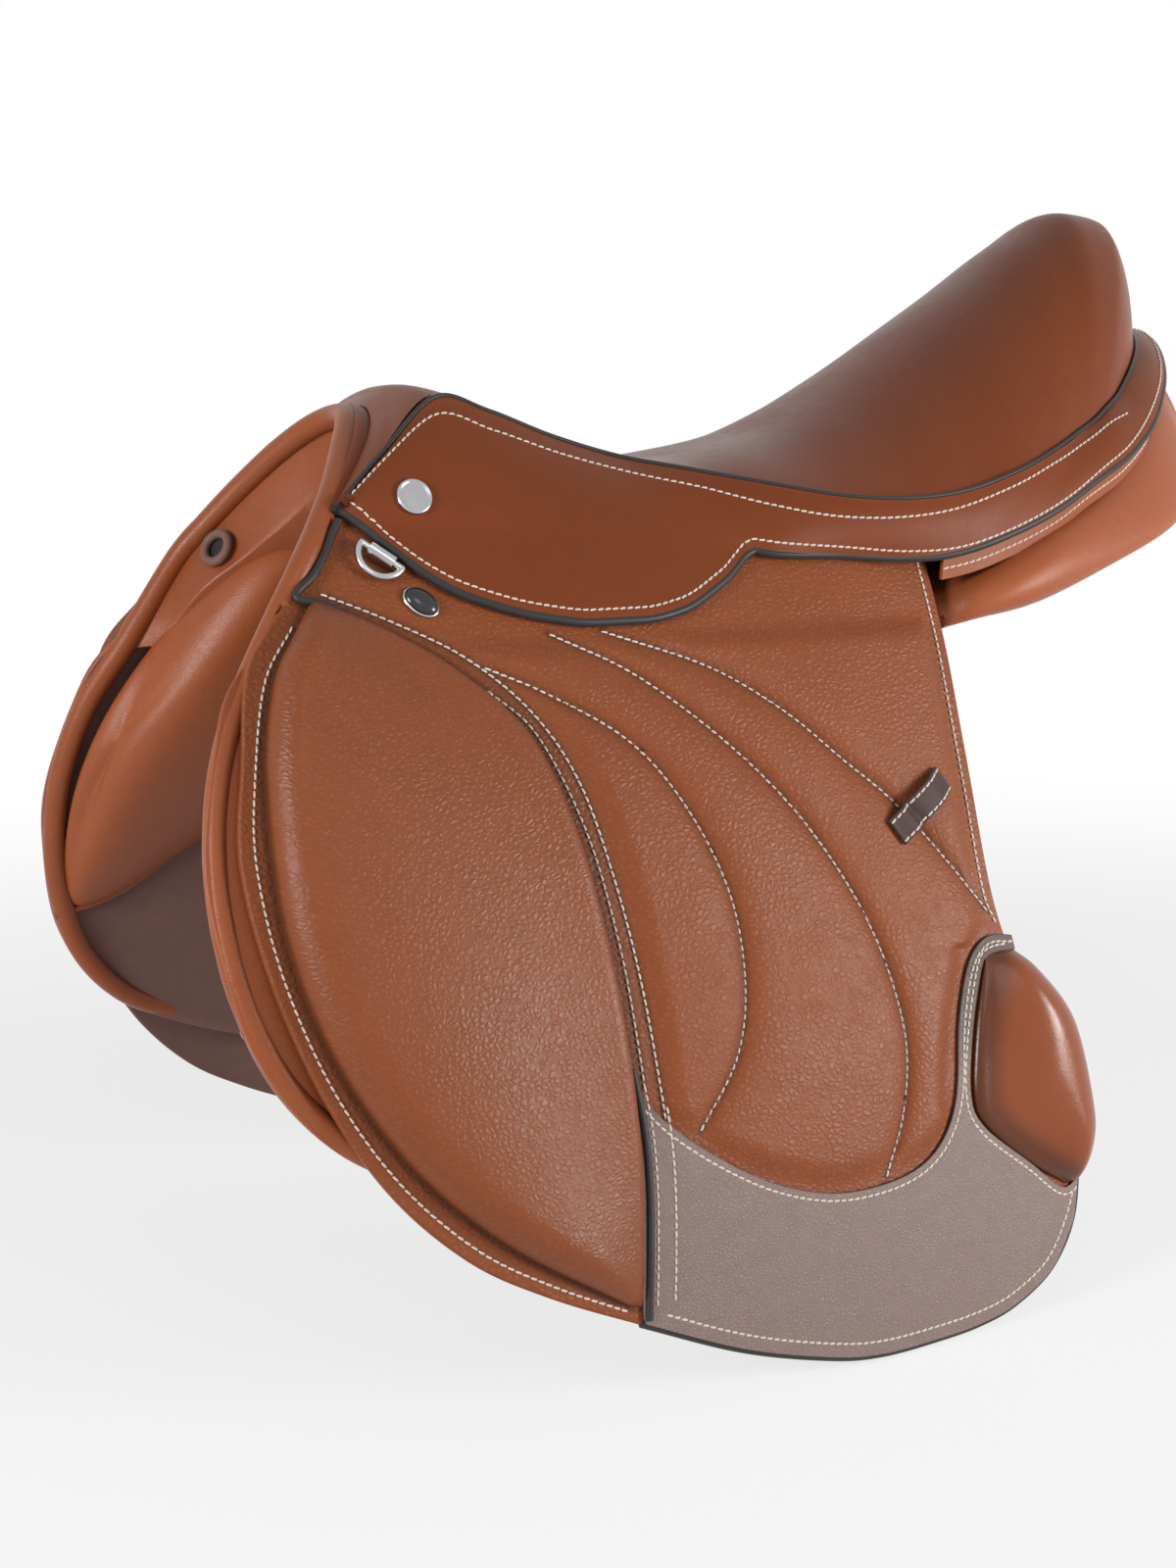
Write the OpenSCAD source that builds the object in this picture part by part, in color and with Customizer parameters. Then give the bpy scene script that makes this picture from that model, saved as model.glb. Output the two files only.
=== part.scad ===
// English jumping saddle. Front is -X, rear is +X, the left flap is at -Y, up is +Z.
// The origin is the crown of the gullet channel, below the middle of the seat.

/* [Side surface] */
// Height of the line where the flank turns over into the seat
flank_top = 61; // [55:1:67]
// Half width of the saddle at that line
flank_half = 50.5; // [46:0.5:55]
// How far a flap would splay out at the very bottom
splay = 165; // [150:1:180]
// Depth over which the splay builds up
splay_depth = 226; // [200:1:250]
// Extra width behind the waist
rear_flare = 21; // [16:1:26]
// How far the flank bows in towards its front and rear
flank_bow = 12; // [8:1:14]

/* [Leather] */
// Thickness of a flap
flap_t = 4.5; // [3.5:0.1:5.5]
// Thickness of a skirt
skirt_t = 3.6; // [2.8:0.1:4.2]
// Thickness of a sweat flap
sweat_t = 3; // [2:0.1:4]
// Thickness of the seat cover
cover_t = 2.2; // [1.6:0.1:2.8]
// Thickness of a wear patch
patch_t = 1.4; // [1:0.1:2]
// Thickness of the strips that close the pommel, gusset and channel
strip_t = 2.5; // [1.8:0.1:3]
// Radius of the welt round the seat
welt_r = 2.2; // [1.6:0.1:2.5]
// Radius of the rolled rim of the pommel
rim_r = 5; // [4:0.1:5.6]
// Gap between two layers of leather
layer_gap = 0.4; // [0.3:0.05:0.6]

/* [Padding] */
// Height of the knee pad's crown
knee_h = 13; // [9:0.5:16]
// Height of the thigh block's crown
block_h = 17; // [12:0.5:20]
// Depth of the sewn ribs of a flap
rib_depth = 2; // [1:0.1:2.5]
// Half width of the gullet between the panels
gullet_half = 34; // [30:0.5:36]
// Height of a panel's wall along the gullet
gullet_wall = 20; // [14:1:24]
// Swell of a panel's underside
panel_swell = 9; // [5:0.5:12]
// How far the front roll of a panel bulges forward
panel_roll = 28; // [10:1:32]

/* [Tree] */
// Thickness of the tree
tree_t = 8; // [6:0.5:9]
// Thickness of the seat webs
web_t = 1.5; // [1:0.1:2]
// Width of the steel head arch, front to rear
arch_w = 18; // [14:1:20]
// Thickness of the steel head arch
arch_t = 4; // [3:0.1:5]

/* [Stirrup bar] */
// Length of the bar that carries the leather
bar_l = 72; // [62:1:76]
// Height of the bar
bar_h = 10; // [8:0.5:12]
// Thickness of the bar
bar_t = 6.5; // [5:0.1:7]
// Room for the leather behind the bar
bar_gap = 10; // [8:0.5:11]
// Thickness of the plate against the tree
bar_plate_t = 3; // [2.5:0.1:4]
// Length of the thumb catch
catch_l = 20; // [16:0.5:24]
// Radius of the catch's pin
catch_pin_r = 2; // [1.5:0.1:2.4]

/* [Billets] */
// Width of a billet
billet_w = 25; // [22:0.5:28]
// Thickness of a billet
billet_t = 3.2; // [2.6:0.1:3.8]
// Height of a billet's lower end
billet_low_z = -255; // [-258:1:-200]
// Radius of a buckle hole
billet_hole_r = 2.5; // [2:0.1:3]
// Distance between buckle holes
billet_hole_pitch = 25; // [20:0.5:28]
// Distance between billets
billet_pitch = 40; // [38:0.5:44]
// Radius of the rivets that the billets swing on
billet_rivet_r = 3; // [2.5:0.1:3.5]
// Thickness of the girth web
girth_web_t = 2.5; // [2:0.1:3]
// Thickness of a buckle guard's leather
guard_t = 2.2; // [1.6:0.1:2.4]
// Length of a buckle guard
guard_l = 78; // [60:1:90]

/* [Trim] */
// Radius of the round skirt stud
stud_r = 8.3; // [6:0.1:9]
// Height of the skirt stud's dome
stud_h = 2.2; // [1.5:0.1:3]
// Radius of a dee ring, at the middle of its wire
dee_r = 10; // [8:0.5:11]
// Radius of the dee ring's wire
dee_wire_r = 1.5; // [1.2:0.1:1.8]
// Running gap of a pin in its hole
pin_gap = 0.05; // [0.03:0.01:0.08]
// Radius of the leather-ringed hole at the front of a panel
tab_ring_r = 7; // [5.5:0.1:8]
// Radius of that ring's roll
tab_roll_r = 2.2; // [1.6:0.1:2.6]
// Width of the keeper loop
keeper_w = 16; // [13:0.5:18]
// Thickness of the keeper loop
keeper_t = 2.2; // [1.6:0.1:2.6]

/* [Hidden] */
$fn = 48;

TAN = [0.62, 0.33, 0.19];
SEAT_TAN = [0.52, 0.26, 0.16];
BROWN = [0.33, 0.22, 0.18];
TAUPE = [0.53, 0.46, 0.42];
BLACK = [0.12, 0.12, 0.13];
STEEL = [0.75, 0.76, 0.78];
CREAM = [0.86, 0.82, 0.72];

// Layers of the flank, measured inwards from the outside of the flap
strap_room = 1.8;
sweat_room = 3.4;
guard_fit = 0.4;
outer_billet_in = flap_t + strap_room + guard_t + guard_fit;
inner_billet_in = outer_billet_in + billet_t + guard_fit + guard_t + 1;
girth_web_in = inner_billet_in + billet_t + 0.7;
sweat_in = inner_billet_in + billet_t + sweat_room;
wing_in = girth_web_in + girth_web_t + 1.5;
skirt_in_gap = 0.6;
skirt_out = skirt_in_gap + skirt_t;

// Seat, one row per station from the pommel to the back of the cantle:
// x and z on the centre line, x, half width and z at the welt, crown power, x and z of the foam's base
seat_rows = [
    [-191, 75, -232, 68, 32, 2.0, -188, 63],
    [-184, 80, -205, 57, 55, 2.2, -182, 67],
    [-176, 84, -175, 46, 78, 2.5, -175, 69],
    [-150, 76, -150, 48, 72, 3.0, -150, 60],
    [-120, 62, -120, 50, 61, 4.0, -120, 45],
    [-90, 53, -88, 53, 52, 4.0, -90, 35],
    [-60, 50, -58, 64, 46, 4.0, -60, 31],
    [-24, 55, -25, 81, 39, 3.0, -24, 34],
    [10, 62, 8, 92, 33, 2.6, 10, 39],
    [45, 76, 40, 99, 31, 2.4, 45, 51],
    [80, 95, 72, 102, 34, 2.3, 80, 68],
    [115, 117, 105, 101, 43, 2.2, 115, 88],
    [150, 139, 132, 96, 53, 2.2, 148, 108],
    [185, 162, 152, 90, 61, 2.2, 178, 127],
    [212, 176, 166, 86, 67, 2.2, 200, 138],
    [232, 174, 177, 82, 73, 2.2, 214, 138],
    [245, 150, 185, 78.5, 77, 2.2, 224, 124],
    [250, 118, 191, 75, 80, 2.2, 229, 100]
];
seat_cols = [-1, -0.95, -0.84, -0.66, -0.44, -0.22, 0, 0.22, 0.44, 0.66, 0.84, 0.95, 1];

// Outlines on the flank, as x against height
flap_front = [[-338, -40], [-336, -55], [-332, -78], [-321, -109], [-301, -156], [-281, -196], [-262, -227],
    [-232, -256], [-193, -278], [-146, -293], [-102, -298], [-66, -291], [-33, -283], [-15, -270],
    [-2, -258], [14, -246], [32, -234]];
flap_rear = [[-338, -5], [-336, 20], [-320, 68], [-300, 83], [-280, 87], [-240, 83], [-205, 74],
    [-178, 62], [-144, 55], [-83, 55], [-35, 57], [32, 57]];
flap_low_z = -338;
flap_hinge_z = -26;
hinge_gap = 0.2;
flap_head_top = 16;
bar_notch = [-192, -78];
bar_notch_low = -12;

knee_front = [[-290, -161], [-258, -210], [-222, -247], [-177, -273], [-129, -285], [-74, -284], [-37, -274],
    [-27, -268]];
knee_rear = [[-290, -155], [-240, -149], [-201, -148], [-154, -150], [-103, -156], [-63, -169], [-37, -194],
    [-27, -214]];
block_inner = [[-284, 76], [-271, 57], [-250, 30], [-236, 25], [-206, 31], [-176, 44]];
block_outer = [[-284, 88], [-271, 92], [-249, 95], [-211, 89], [-184, 71], [-176, 62]];
patch_top = [[-152, -203], [-135, -221], [-109, -241], [-81, -256], [-51, -264], [-18, -263], [3, -255],
    [17, -249], [30, -256], [57, -276], [76, -291]];
patch_low = [[-152, -300], [-108, -318], [-64, -330], [-37, -334], [20, -333], [60, -321], [76, -308]];
ribs = [
    [[-194, -37], [-157, -47], [-124, -68], [-103, -96], [-89, -133], [-88, -170], [-97, -200], [-119, -227]],
    [[-150, -23], [-113, -42], [-72, -76], [-41, -113], [-18, -157], [-8, -201], [-13, -234], [-27, -264]],
    [[-125, -23], [-77, -40], [-43, -61], [-17, -84], [5, -103], [28, -129], [52, -157], [58, -164]]
];
rib_half = 9;
quilt_top = -34;
block_top = -177;
block_low = -283;
knee_low_z = -288;

sweat_front = [[-262, -80], [-250, -170], [-235, -230], [-212, -275], [-174, -301], [-130, -310], [-97, -310],
    [-55, -298], [-33, -287], [-1, -262]];
sweat_rear = [[-262, -50], [-255, 20], [-200, 50], [-30, 54], [-1, 54]];
sweat_top = -1;
sweat_low = -262;

// Drop of the skirt below the line that it folds on
skirt_fold = [[-222, 22], [-37, 7]];
skirt_low = [[-222, 20.5], [-212, 13], [-198, 1], [-184, -7], [-151, -17], [-128, -20], [-104, -20],
    [-84, -17], [-59, -6], [-37, 5.5]];
fold_gap = 1.6;
// Lower edge of the skirt band: x, half width and height, from the front corner to the middle of the cantle
band_fold_x = [-233, -222, -178, -135, -90, -50];
band_rear = [[-25, 94.5, 6.4], [5, 97, 4.6], [35, 102, 2.5], [62, 107, 4], [92, 110, 12], [125, 109, 24],
    [155, 104, 38], [180, 98, 49], [205, 87, 63], [225, 73, 78], [242, 57, 92], [255, 38, 105],
    [264, 18, 113], [268, 0, 116]];
band_cols = len(band_fold_x) + len(band_rear) - 1;
band_swell = 2.5;

// Panel stations: gullet edge x and z, shoulder x, y and z, lower edge x, y and z
panel_rows = [
    [-226, 8, -241, 67, -6, -303, 130, -168],
    [-205, 12, -222, 63, -3, -265, 127, -156],
    [-160, 10, -172, 58, -9, -200, 112, -110],
    [-110, 6, -116, 58, -12, -125, 96, -80],
    [-60, 4, -62, 62, -12, -65, 90, -68],
    [0, 2, 0, 66, -12, 0, 93, -50],
    [40, 4, 40, 72, -14, 40, 94, -38],
    [64, 7, 64, 88, -16, 64, 102, -30],
    [80, 10, 78, 99, -13, 80, 110, -23],
    [115, 18, 112, 102, 0, 115, 112, -14],
    [165, 36, 160, 95, 22, 165, 109, 2],
    [210, 56, 203, 78, 47, 213, 97, 17],
    [245, 74, 234, 56, 70, 248, 77, 33],
    [262, 84, 250, 40, 84, 268, 50, 52]
];

rim_path = [[-197, 0, 72], [-203, 18, 68], [-213, 35, 57], [-226, 54, 40], [-239, 67, 23], [-251, 76, 7],
    [-264, 84, -9]];
facing_low = [[-196, 0, 42], [-203, 17, 36], [-215, 31, 22], [-232, 44, 6], [-248, 57, -9]];
arch_path = [[-180, 0, 49], [-182, 19, 46], [-186, 34, 35], [-188, 43, 21.5], [-191, 49, 9]];

billet_x0 = -50;
billet_mid_z = -125;
billet_bend_r = 800;
billet_top_z = 20;
billet_rivet_z = 8;
billet_holes = 9;
billet_hole_low = 20;
guard_top_z = -42;
guard_w = 34;

bar_at = [-138, 6];
dee_at = [-217, 10];
dee_turn = 41;
dee_stud_at = [-204, -8];
stud_at = [-203, 31];
keeper_ends = [[36, -95], [-2, -120]];
tab_col = 1;

// General helpers
function lerp(a, b, t) = a + (b - a) * t;
function smooth(t) = let (c = min(1, max(0, t))) c * c * (3 - 2 * c);
function unit(v) = v / norm(v);
function steps(n) = [for (i = [0 : n]) i / n];
function joined(lists) = [for (l = lists) each l];
function seg_gap(p, a, b) = let (d = b - a, t = min(1, max(0, ((p - a) * d) / (d * d)))) norm(p - a - d * t);
function line_gap(p, line) = min([for (i = [0 : len(line) - 2]) seg_gap(p, line[i], line[i + 1])]);
function mirror_y(p) = [p[0], -p[1], p[2]];
function turned(line) = [for (i = [len(line) - 1 : -1 : 0]) line[i]];

// The flank: half width at a station and height, its outward normal, and a point off it
function half_width(x, z) = let (s = flank_top - z)
    flank_half + splay * (1 - exp(-s / splay_depth))
    + rear_flare * smooth((x + 78) / 130) * exp(-max(s, 0) / 78)
    - flank_bow * pow((x + 87) / 200, 2);
function flank_normal(x, z) = unit([
    half_width(x - 1, z) - half_width(x + 1, z), -2, half_width(x, z - 1) - half_width(x, z + 1)]);
function on_flank(x, z, off) = [x, -half_width(x, z), z] + off * flank_normal(x, z);

// Normals of a grid of points, along row x column
function grid_normal(g, i, j) = unit(cross(
    g[min(i + 1, len(g) - 1)][j] - g[max(i - 1, 0)][j],
    g[i][min(j + 1, len(g[0]) - 1)] - g[i][max(j - 1, 0)]));
function sunk(g, depth) = [for (i = [0 : len(g) - 1])
    [for (j = [0 : len(g[0]) - 1]) g[i][j] - depth * grid_normal(g, i, j)]];

// A closed sheet between two grids, with the cells of the mask only; outer faces row x column
module sheet(outer, inner, mask = undef) {
    rows = len(outer);
    cols = len(outer[0]);
    base = rows * cols;
    function kept(i, j) = i >= 0 && j >= 0 && i < rows - 1 && j < cols - 1
        && (is_undef(mask) || mask[i][j]);
    function wall(p, q) = [[q, p, p + base], [q, p + base, q + base]];
    cells = [for (i = [0 : rows - 2]) for (j = [0 : cols - 2]) if (kept(i, j)) [i, j]];
    faces = joined([for (c = cells) let (
        i = c[0], j = c[1], p = i * cols + j, q = p + 1, r = q + cols, s = p + cols) concat(
            [[p, q, r], [p, r, s]],
            [[p + base, r + base, q + base], [p + base, s + base, r + base]],
            kept(i - 1, j) ? [] : wall(p, q),
            kept(i, j + 1) ? [] : wall(q, r),
            kept(i + 1, j) ? [] : wall(r, s),
            kept(i, j - 1) ? [] : wall(s, p))]);
    polyhedron(concat(joined(outer), joined(inner)), faces);
}

// A closed loft through rings of points, with fans at its ends; outward is row x column
module loft(rings) {
    n = len(rings);
    m = len(rings[0]);
    function mean(ring) = [for (k = [0 : 2]) [for (p = ring) p[k]] * [for (p = ring) 1] / m];
    sides = joined([for (i = [0 : n - 2]) for (j = [0 : m - 1]) let (
        p = i * m + j, q = i * m + (j + 1) % m) [[p, q, q + m], [p, q + m, p + m]]]);
    ends = joined([for (j = [0 : m - 1]) let (k = (j + 1) % m) [
        [n * m, k, j], [n * m + 1, (n - 1) * m + j, (n - 1) * m + k]]]);
    polyhedron(concat(joined(rings), [mean(rings[0]), mean(rings[n - 1])]), concat(sides, ends));
}

// Smooth curve through points, and a round tube along a path
function curve_at(line, i, t) = let (
        n = len(line) - 1, p0 = line[max(i - 1, 0)], p1 = line[i], p2 = line[min(i + 1, n)],
        p3 = line[min(i + 2, n)])
    0.5 * (2 * p1 + (p2 - p0) * t + (2 * p0 - 5 * p1 + 4 * p2 - p3) * t * t
        + (3 * p1 - p0 - 3 * p2 + p3) * t * t * t);
function smooth_path(line, cuts) = concat(
    [for (i = [0 : len(line) - 2]) for (k = [0 : cuts - 1]) curve_at(line, i, k / cuts)],
    [line[len(line) - 1]]);
module tube(path, r, sides) {
    loft([for (i = [0 : len(path) - 1]) let (
            along = unit(path[min(i + 1, len(path) - 1)] - path[max(i - 1, 0)]),
            across = unit(cross(along, [0, 0.2, 1])), up = cross(across, along))
        [for (k = [0 : sides - 1]) let (a = 360 * k / sides)
            path[i] + r * (cos(a) * across + sin(a) * up)]]);
}

// Both sides share one shape: the left one is drawn, the right one is its mirror image
module placed(side) {
    if (side == "left") children();
    else mirror([0, 1, 0]) children();
}

// Sheet on the flank between a front and a rear outline, from a top to a low height
function flank_grid(front, rear, top, low, rows, cols, off) = [
    for (r = steps(rows)) let (z = lerp(top, low, r))
    [for (c = steps(cols)) let (x = lerp(lookup(z, front), lookup(z, rear), c)) on_flank(x, z, off)]];

// Seat surface and the base of its foam
function seat_point(row, v) = [
    lerp(row[0], row[2], pow(abs(v), 2.2)), row[3] * v, lerp(row[4], row[1], 1 - pow(abs(v), row[5]))];
function base_point(row, v) = [
    lerp(row[6], row[2] - 3 * sign(row[2]), pow(abs(v), 2.2)), (row[3] - 6) * v,
    lerp(row[4] - 10, row[7], 1 - pow(abs(v), row[5]))];
seat_grid = [for (row = seat_rows) [for (v = seat_cols) seat_point(row, v)]];
base_grid = [for (row = seat_rows) [for (v = seat_cols) base_point(row, v)]];
web_top = layer_gap;
tree_top = web_top + web_t + 2 * layer_gap;

module seat_cover() {
    color(SEAT_TAN) sheet(seat_grid, sunk(seat_grid, cover_t));
}

module seat_foam() {
    color(CREAM) sheet(sunk(seat_grid, cover_t + layer_gap), base_grid);
}

module seat_webs() {
    function web_grid(depth) = [for (i = [5 : 13]) [for (j = [2 : 10])
        base_grid[i][j] - depth * grid_normal(base_grid, i, j)]];
    mask = [for (i = [0 : 7]) [for (j = [0 : 7]) (j % 3 != 2) || i < 1 || i > 6]];
    color(CREAM) sheet(web_grid(web_top), web_grid(web_top + web_t), mask);
}

// Tree: a shell under the webs, open below them, with a wing down each side for the stirrup bar
wing_heights = [38, 16];
function wing(row) = [for (z = wing_heights) on_flank(row[2], z, -wing_in)];
tree_grid = [for (i = [0 : len(seat_rows) - 2]) concat(
    turned(wing(seat_rows[i])),
    [for (j = [1 : len(seat_cols) - 2]) base_grid[i][j] - tree_top * grid_normal(base_grid, i, j)],
    [for (p = wing(seat_rows[i])) mirror_y(p)])];
// Direction through the tree's wall: inwards on a wing, down under the seat, between them at the bend
function tree_inward(j) = let (
        last = len(tree_grid[0]) - 1, k = min(j, last - j), side = j < last / 2 ? 1 : -1)
    k < len(wing_heights) ? [0, side, 0] : k == len(wing_heights) ? [0, 0.7 * side, -0.7] : [0, 0, -1];
module tree() {
    last = len(tree_grid[0]) - 2;
    inner = [for (line = tree_grid) [for (j = [0 : len(line) - 1]) line[j] + tree_t * tree_inward(j)]];
    mask = [for (i = [0 : len(tree_grid) - 2]) [for (j = [0 : last])
        (j < 2 || j > last - 2) ? (i >= 2 && i <= 4) : !(i >= 6 && i <= 11 && j >= 4 && j <= last - 4)]];
    color(BLACK) sheet(tree_grid, inner, mask);
}

// Steel arch under the head of the tree
module head_arch() {
    half = smooth_path(arch_path, 3);
    path = concat([for (p = turned(half)) mirror_y(p)], [for (i = [1 : len(half) - 1]) half[i]]);
    color(STEEL) loft([for (i = [0 : len(path) - 1]) let (
            along = unit(path[min(i + 1, len(path) - 1)] - path[max(i - 1, 0)]),
            up = unit(cross([1, 0, 0], along)), fore = [arch_w / 2, 0, 0], t = up * arch_t / 2)
        [path[i] - fore - t, path[i] + fore - t, path[i] + fore + t, path[i] - fore + t]]);
}

// Edge of the seat, from the front corner to the middle of the cantle, on the left
welt_line = concat([for (row = seat_rows) [row[2], -row[3], row[4]]],
    [for (j = [1 : 6]) seat_grid[len(seat_rows) - 1][j]]);
function welt_out(line, i) = let (d = line[min(i + 1, len(line) - 1)] - line[max(i - 1, 0)])
    unit([d[1], -d[0], 0]);
welt_path = [for (i = [0 : len(welt_line) - 1])
    welt_line[i] + (welt_r + layer_gap) * welt_out(welt_line, i)];
module seat_welt() {
    path = concat(welt_path, [for (i = [len(welt_path) - 2 : -1 : 0]) mirror_y(welt_path[i])]);
    color(BLACK) tube(path, welt_r, 6);
}

// Skirt band: from under the welt down to the fold line, and round the cantle
function fold_z(x) = let (t = (x - skirt_fold[0][0]) / (skirt_fold[1][0] - skirt_fold[0][0]))
    lerp(skirt_fold[0][1], skirt_fold[1][1], t) + (t < 0 ? 5 : 0);
band_low = concat(
    [for (x = band_fold_x) on_flank(x, fold_z(x), skirt_out)],
    [for (p = band_rear) mirror_y(p)]);
function at_share(line, t) = let (n = len(line) - 1, i = min(floor(t * n), n - 1))
    curve_at(line, i, t * n - i);
band_start = welt_r + layer_gap;
band_drop = welt_r + layer_gap + 4;
band_top = [for (t = steps(band_cols)) let (i = min(round(t * (len(welt_line) - 1)), len(welt_line) - 1))
    at_share(welt_line, t) + band_start * welt_out(welt_line, i) - [0, 0, band_drop]];
function band_point(k, j) = let (a = band_top[j], b = band_low[j],
        out = unit(cross(b - a, band_low[min(j + 1, band_cols)] - band_low[max(j - 1, 0)])))
    lerp(a, b, k) + 4 * k * (1 - k) * band_swell * out;
band_grid = [for (k = steps(4)) [for (j = [0 : band_cols]) band_point(k, j)]];
band_inner = sunk(band_grid, skirt_t);
function left_of_centre(g) = [for (line = g) [for (p = line) [p[0], min(p[1], -layer_gap / 2), p[2]]]];
module skirt_band(side) {
    color(SEAT_TAN) placed(side) sheet(left_of_centre(band_grid), left_of_centre(band_inner));
}

// Free drop of the skirt, over the stirrup bar
function drop_grid(off) = [for (k = steps(3)) [for (c = steps(16)) let (
        x = lerp(skirt_fold[0][0], skirt_fold[1][0], c),
        fold = fold_z(x) - fold_gap,
        low = min(lookup(x, skirt_low), fold - 1))
    on_flank(x, lerp(fold, low, k), off)]];
module skirt(side) {
    color(SEAT_TAN) placed(side) sheet(drop_grid(skirt_out), drop_grid(skirt_in_gap));
}

module flap_head(side) {
    rows = 5;
    cols = 22;
    low = flap_hinge_z + hinge_gap;
    front = [for (z = [flap_head_top : -4 : low - 4])
        [z, lookup(z, flap_front) + (1.5 * rim_r + layer_gap) * smooth((z - low) / 8)]];
    mask = [for (i = [0 : rows - 1]) [for (j = [0 : cols - 1]) let (
            z = lerp(flap_head_top, low, (i + 1) / rows),
            x = lerp(lookup(z, front), lookup(z, flap_rear), (j + 0.5) / cols))
        x < bar_notch[0] || x > bar_notch[1] || z < bar_notch_low]];
    color(TAN) placed(side) sheet(
        flank_grid(front, flap_rear, flap_head_top, low, rows, cols, 0),
        flank_grid(front, flap_rear, flap_head_top, low, rows, cols, -flap_t), mask);
}

// Flap: padded between its sewn ribs, flat round its edge and under what lies on it
flap_top = flap_hinge_z - hinge_gap;
function puff(x, z) = let (
        inside = min([x - lookup(z, knee_rear) - 8, lookup(z, flap_rear) - x - 8, quilt_top - z,
            z - lookup(x, patch_top) - 8, max(lookup(z, block_inner) - x - 9, z - block_top - 9)]),
        gap = min([for (rib = ribs) line_gap([x, z], rib)]))
    rib_depth * smooth(inside / 16) * smooth(gap / rib_half);
flap_rows = 22;
flap_cols = 19;
flap_outer = [for (r = steps(flap_rows)) let (z = lerp(flap_top, flap_low_z, r))
    [for (c = steps(flap_cols)) let (x = lerp(lookup(z, flap_front), lookup(z, flap_rear), c))
        on_flank(x, z, puff(x, z))]];
module flap(side) {
    color(TAN) placed(side) sheet(flap_outer,
        flank_grid(flap_front, flap_rear, flap_top, flap_low_z, flap_rows, flap_cols, -flap_t));
}

// Padded piece on the flap: crowned across its width, drawn in at its seams and ends
module pad(front, rear, top, low, rows, cols, crown, end) {
    outer = [for (r = steps(rows)) let (
            z = lerp(top, low, r), taper = smooth(r / end[0]) * smooth((1 - r) / end[1]))
        [for (c = steps(cols)) let (x = lerp(lookup(z, front), lookup(z, rear), c))
            on_flank(x, z, layer_gap + 1.5 + crown * sqrt(taper) * pow(sin(180 * c), 0.7))]];
    sheet(outer, flank_grid(front, rear, top, low, rows, cols, layer_gap));
}

module knee_pad(side) {
    color(TAN) placed(side) pad(knee_front, knee_rear, flap_top - 1, knee_low_z, 18, 8, knee_h, [0.3, 0.45]);
}

module thigh_block(side) {
    color(TAN) placed(side) pad(block_inner, block_outer, block_top, block_low, 10, 8, block_h, [0.45, 0.35]);
}

module wear_patch(side) {
    function patch_grid(off) = [for (r = steps(5)) [for (c = steps(16)) let (x = lerp(-145, 74, c))
        on_flank(x, lerp(lookup(x, patch_top), lookup(x, patch_low), r), off)]];
    color(TAUPE) placed(side) sheet(patch_grid(layer_gap + patch_t), patch_grid(layer_gap));
}

// Keeper: a strap sewn down at both ends, standing off the flap between them
module keeper(side) {
    function lift(c) = rib_depth + layer_gap + 3 * smooth(min(c, 1 - c) / 0.3);
    function strap(extra) = [for (w = [1, -1]) [for (c = steps(8)) let (
            p = lerp(keeper_ends[1], keeper_ends[0], c), d = unit(keeper_ends[0] - keeper_ends[1]),
            q = p + w * keeper_w / 2 * [-d[1], d[0]])
        on_flank(q[0], q[1], lift(c) + extra)]];
    color(BROWN) placed(side) sheet(strap(keeper_t), strap(0));
}

// Sweat flap: close behind the flap in front, set in behind the billets
sweat_rear_in = 14;
function sweat_off(x) = let (deep = lerp(sweat_in, sweat_rear_in, smooth((x - 24) / 28)))
    -lerp(flap_t + 2, deep, smooth((x + 300) / 140));
function sweat_grid(extra) = [for (r = steps(16)) let (z = lerp(sweat_top, sweat_low, r))
    [for (c = steps(20)) let (x = lerp(lookup(z, sweat_front), lookup(z, sweat_rear), c))
        on_flank(x, z, sweat_off(x) - extra)]];
module sweat_flap(side) {
    color(BROWN) placed(side) sheet(sweat_grid(0), sweat_grid(sweat_t));
}

// Panel: flat on the tree side, swollen on the horse's side
function panel_section(row) = let (
        top = [row[0], -gullet_half, row[1]],
        shoulder = [row[2], -row[3], row[4]],
        low = [row[5], -row[6], row[7]],
        foot = [row[0], -gullet_half, row[1] - gullet_wall],
        under = unit(cross([1, 0, 0], foot - low)),
        bulge = 5 * smooth((row[0] - 40) / 60),
        roll = panel_roll * (1 - smooth((row[0] - panel_rows[0][0]) / 45)))
    concat([for (t = [0, 0.3, 0.65]) lerp(low, shoulder, t) - [roll, bulge, 0] * sin(180 * t)],
        [shoulder, lerp(shoulder, top, 0.5), top],
        [for (t = [0, 0.25, 0.5, 0.75, 0.93])
            lerp(foot, low, t) - panel_swell * pow(sin(180 * t), 0.8) * under
                - [roll / 2 * sin(180 * t), 0, 0]]);
function tucked(p) = let (n = flank_normal(p[0], p[2]),
        room = half_width(p[0], p[2]) + (sweat_off(p[0]) - sweat_t - 2 * layer_gap) / -n[1])
    p[0] > 60 ? p : [p[0], max(p[1], -room), p[2]];
module panel(side) {
    columns = len(panel_section(panel_rows[0]));
    lines = [for (j = [0 : columns - 1]) smooth_path([for (row = panel_rows) panel_section(row)[j]], 3)];
    color(TAN) placed(side)
        loft([for (i = [0 : len(lines[0]) - 1]) [for (j = [0 : columns - 1]) tucked(lines[j][i])]]);
}

module channel_lining() {
    span = gullet_half - layer_gap;
    tops = [for (row = panel_rows) [for (v = [-1, -0.5, 0, 0.5, 1])
        [row[0] + 3, v * span, row[1] - panel_rows[5][1] + strip_t]]];
    under = [for (line = tops) [for (p = line) p - [0, 0, strip_t]]];
    color(BROWN) sheet(tops, under);
}

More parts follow.
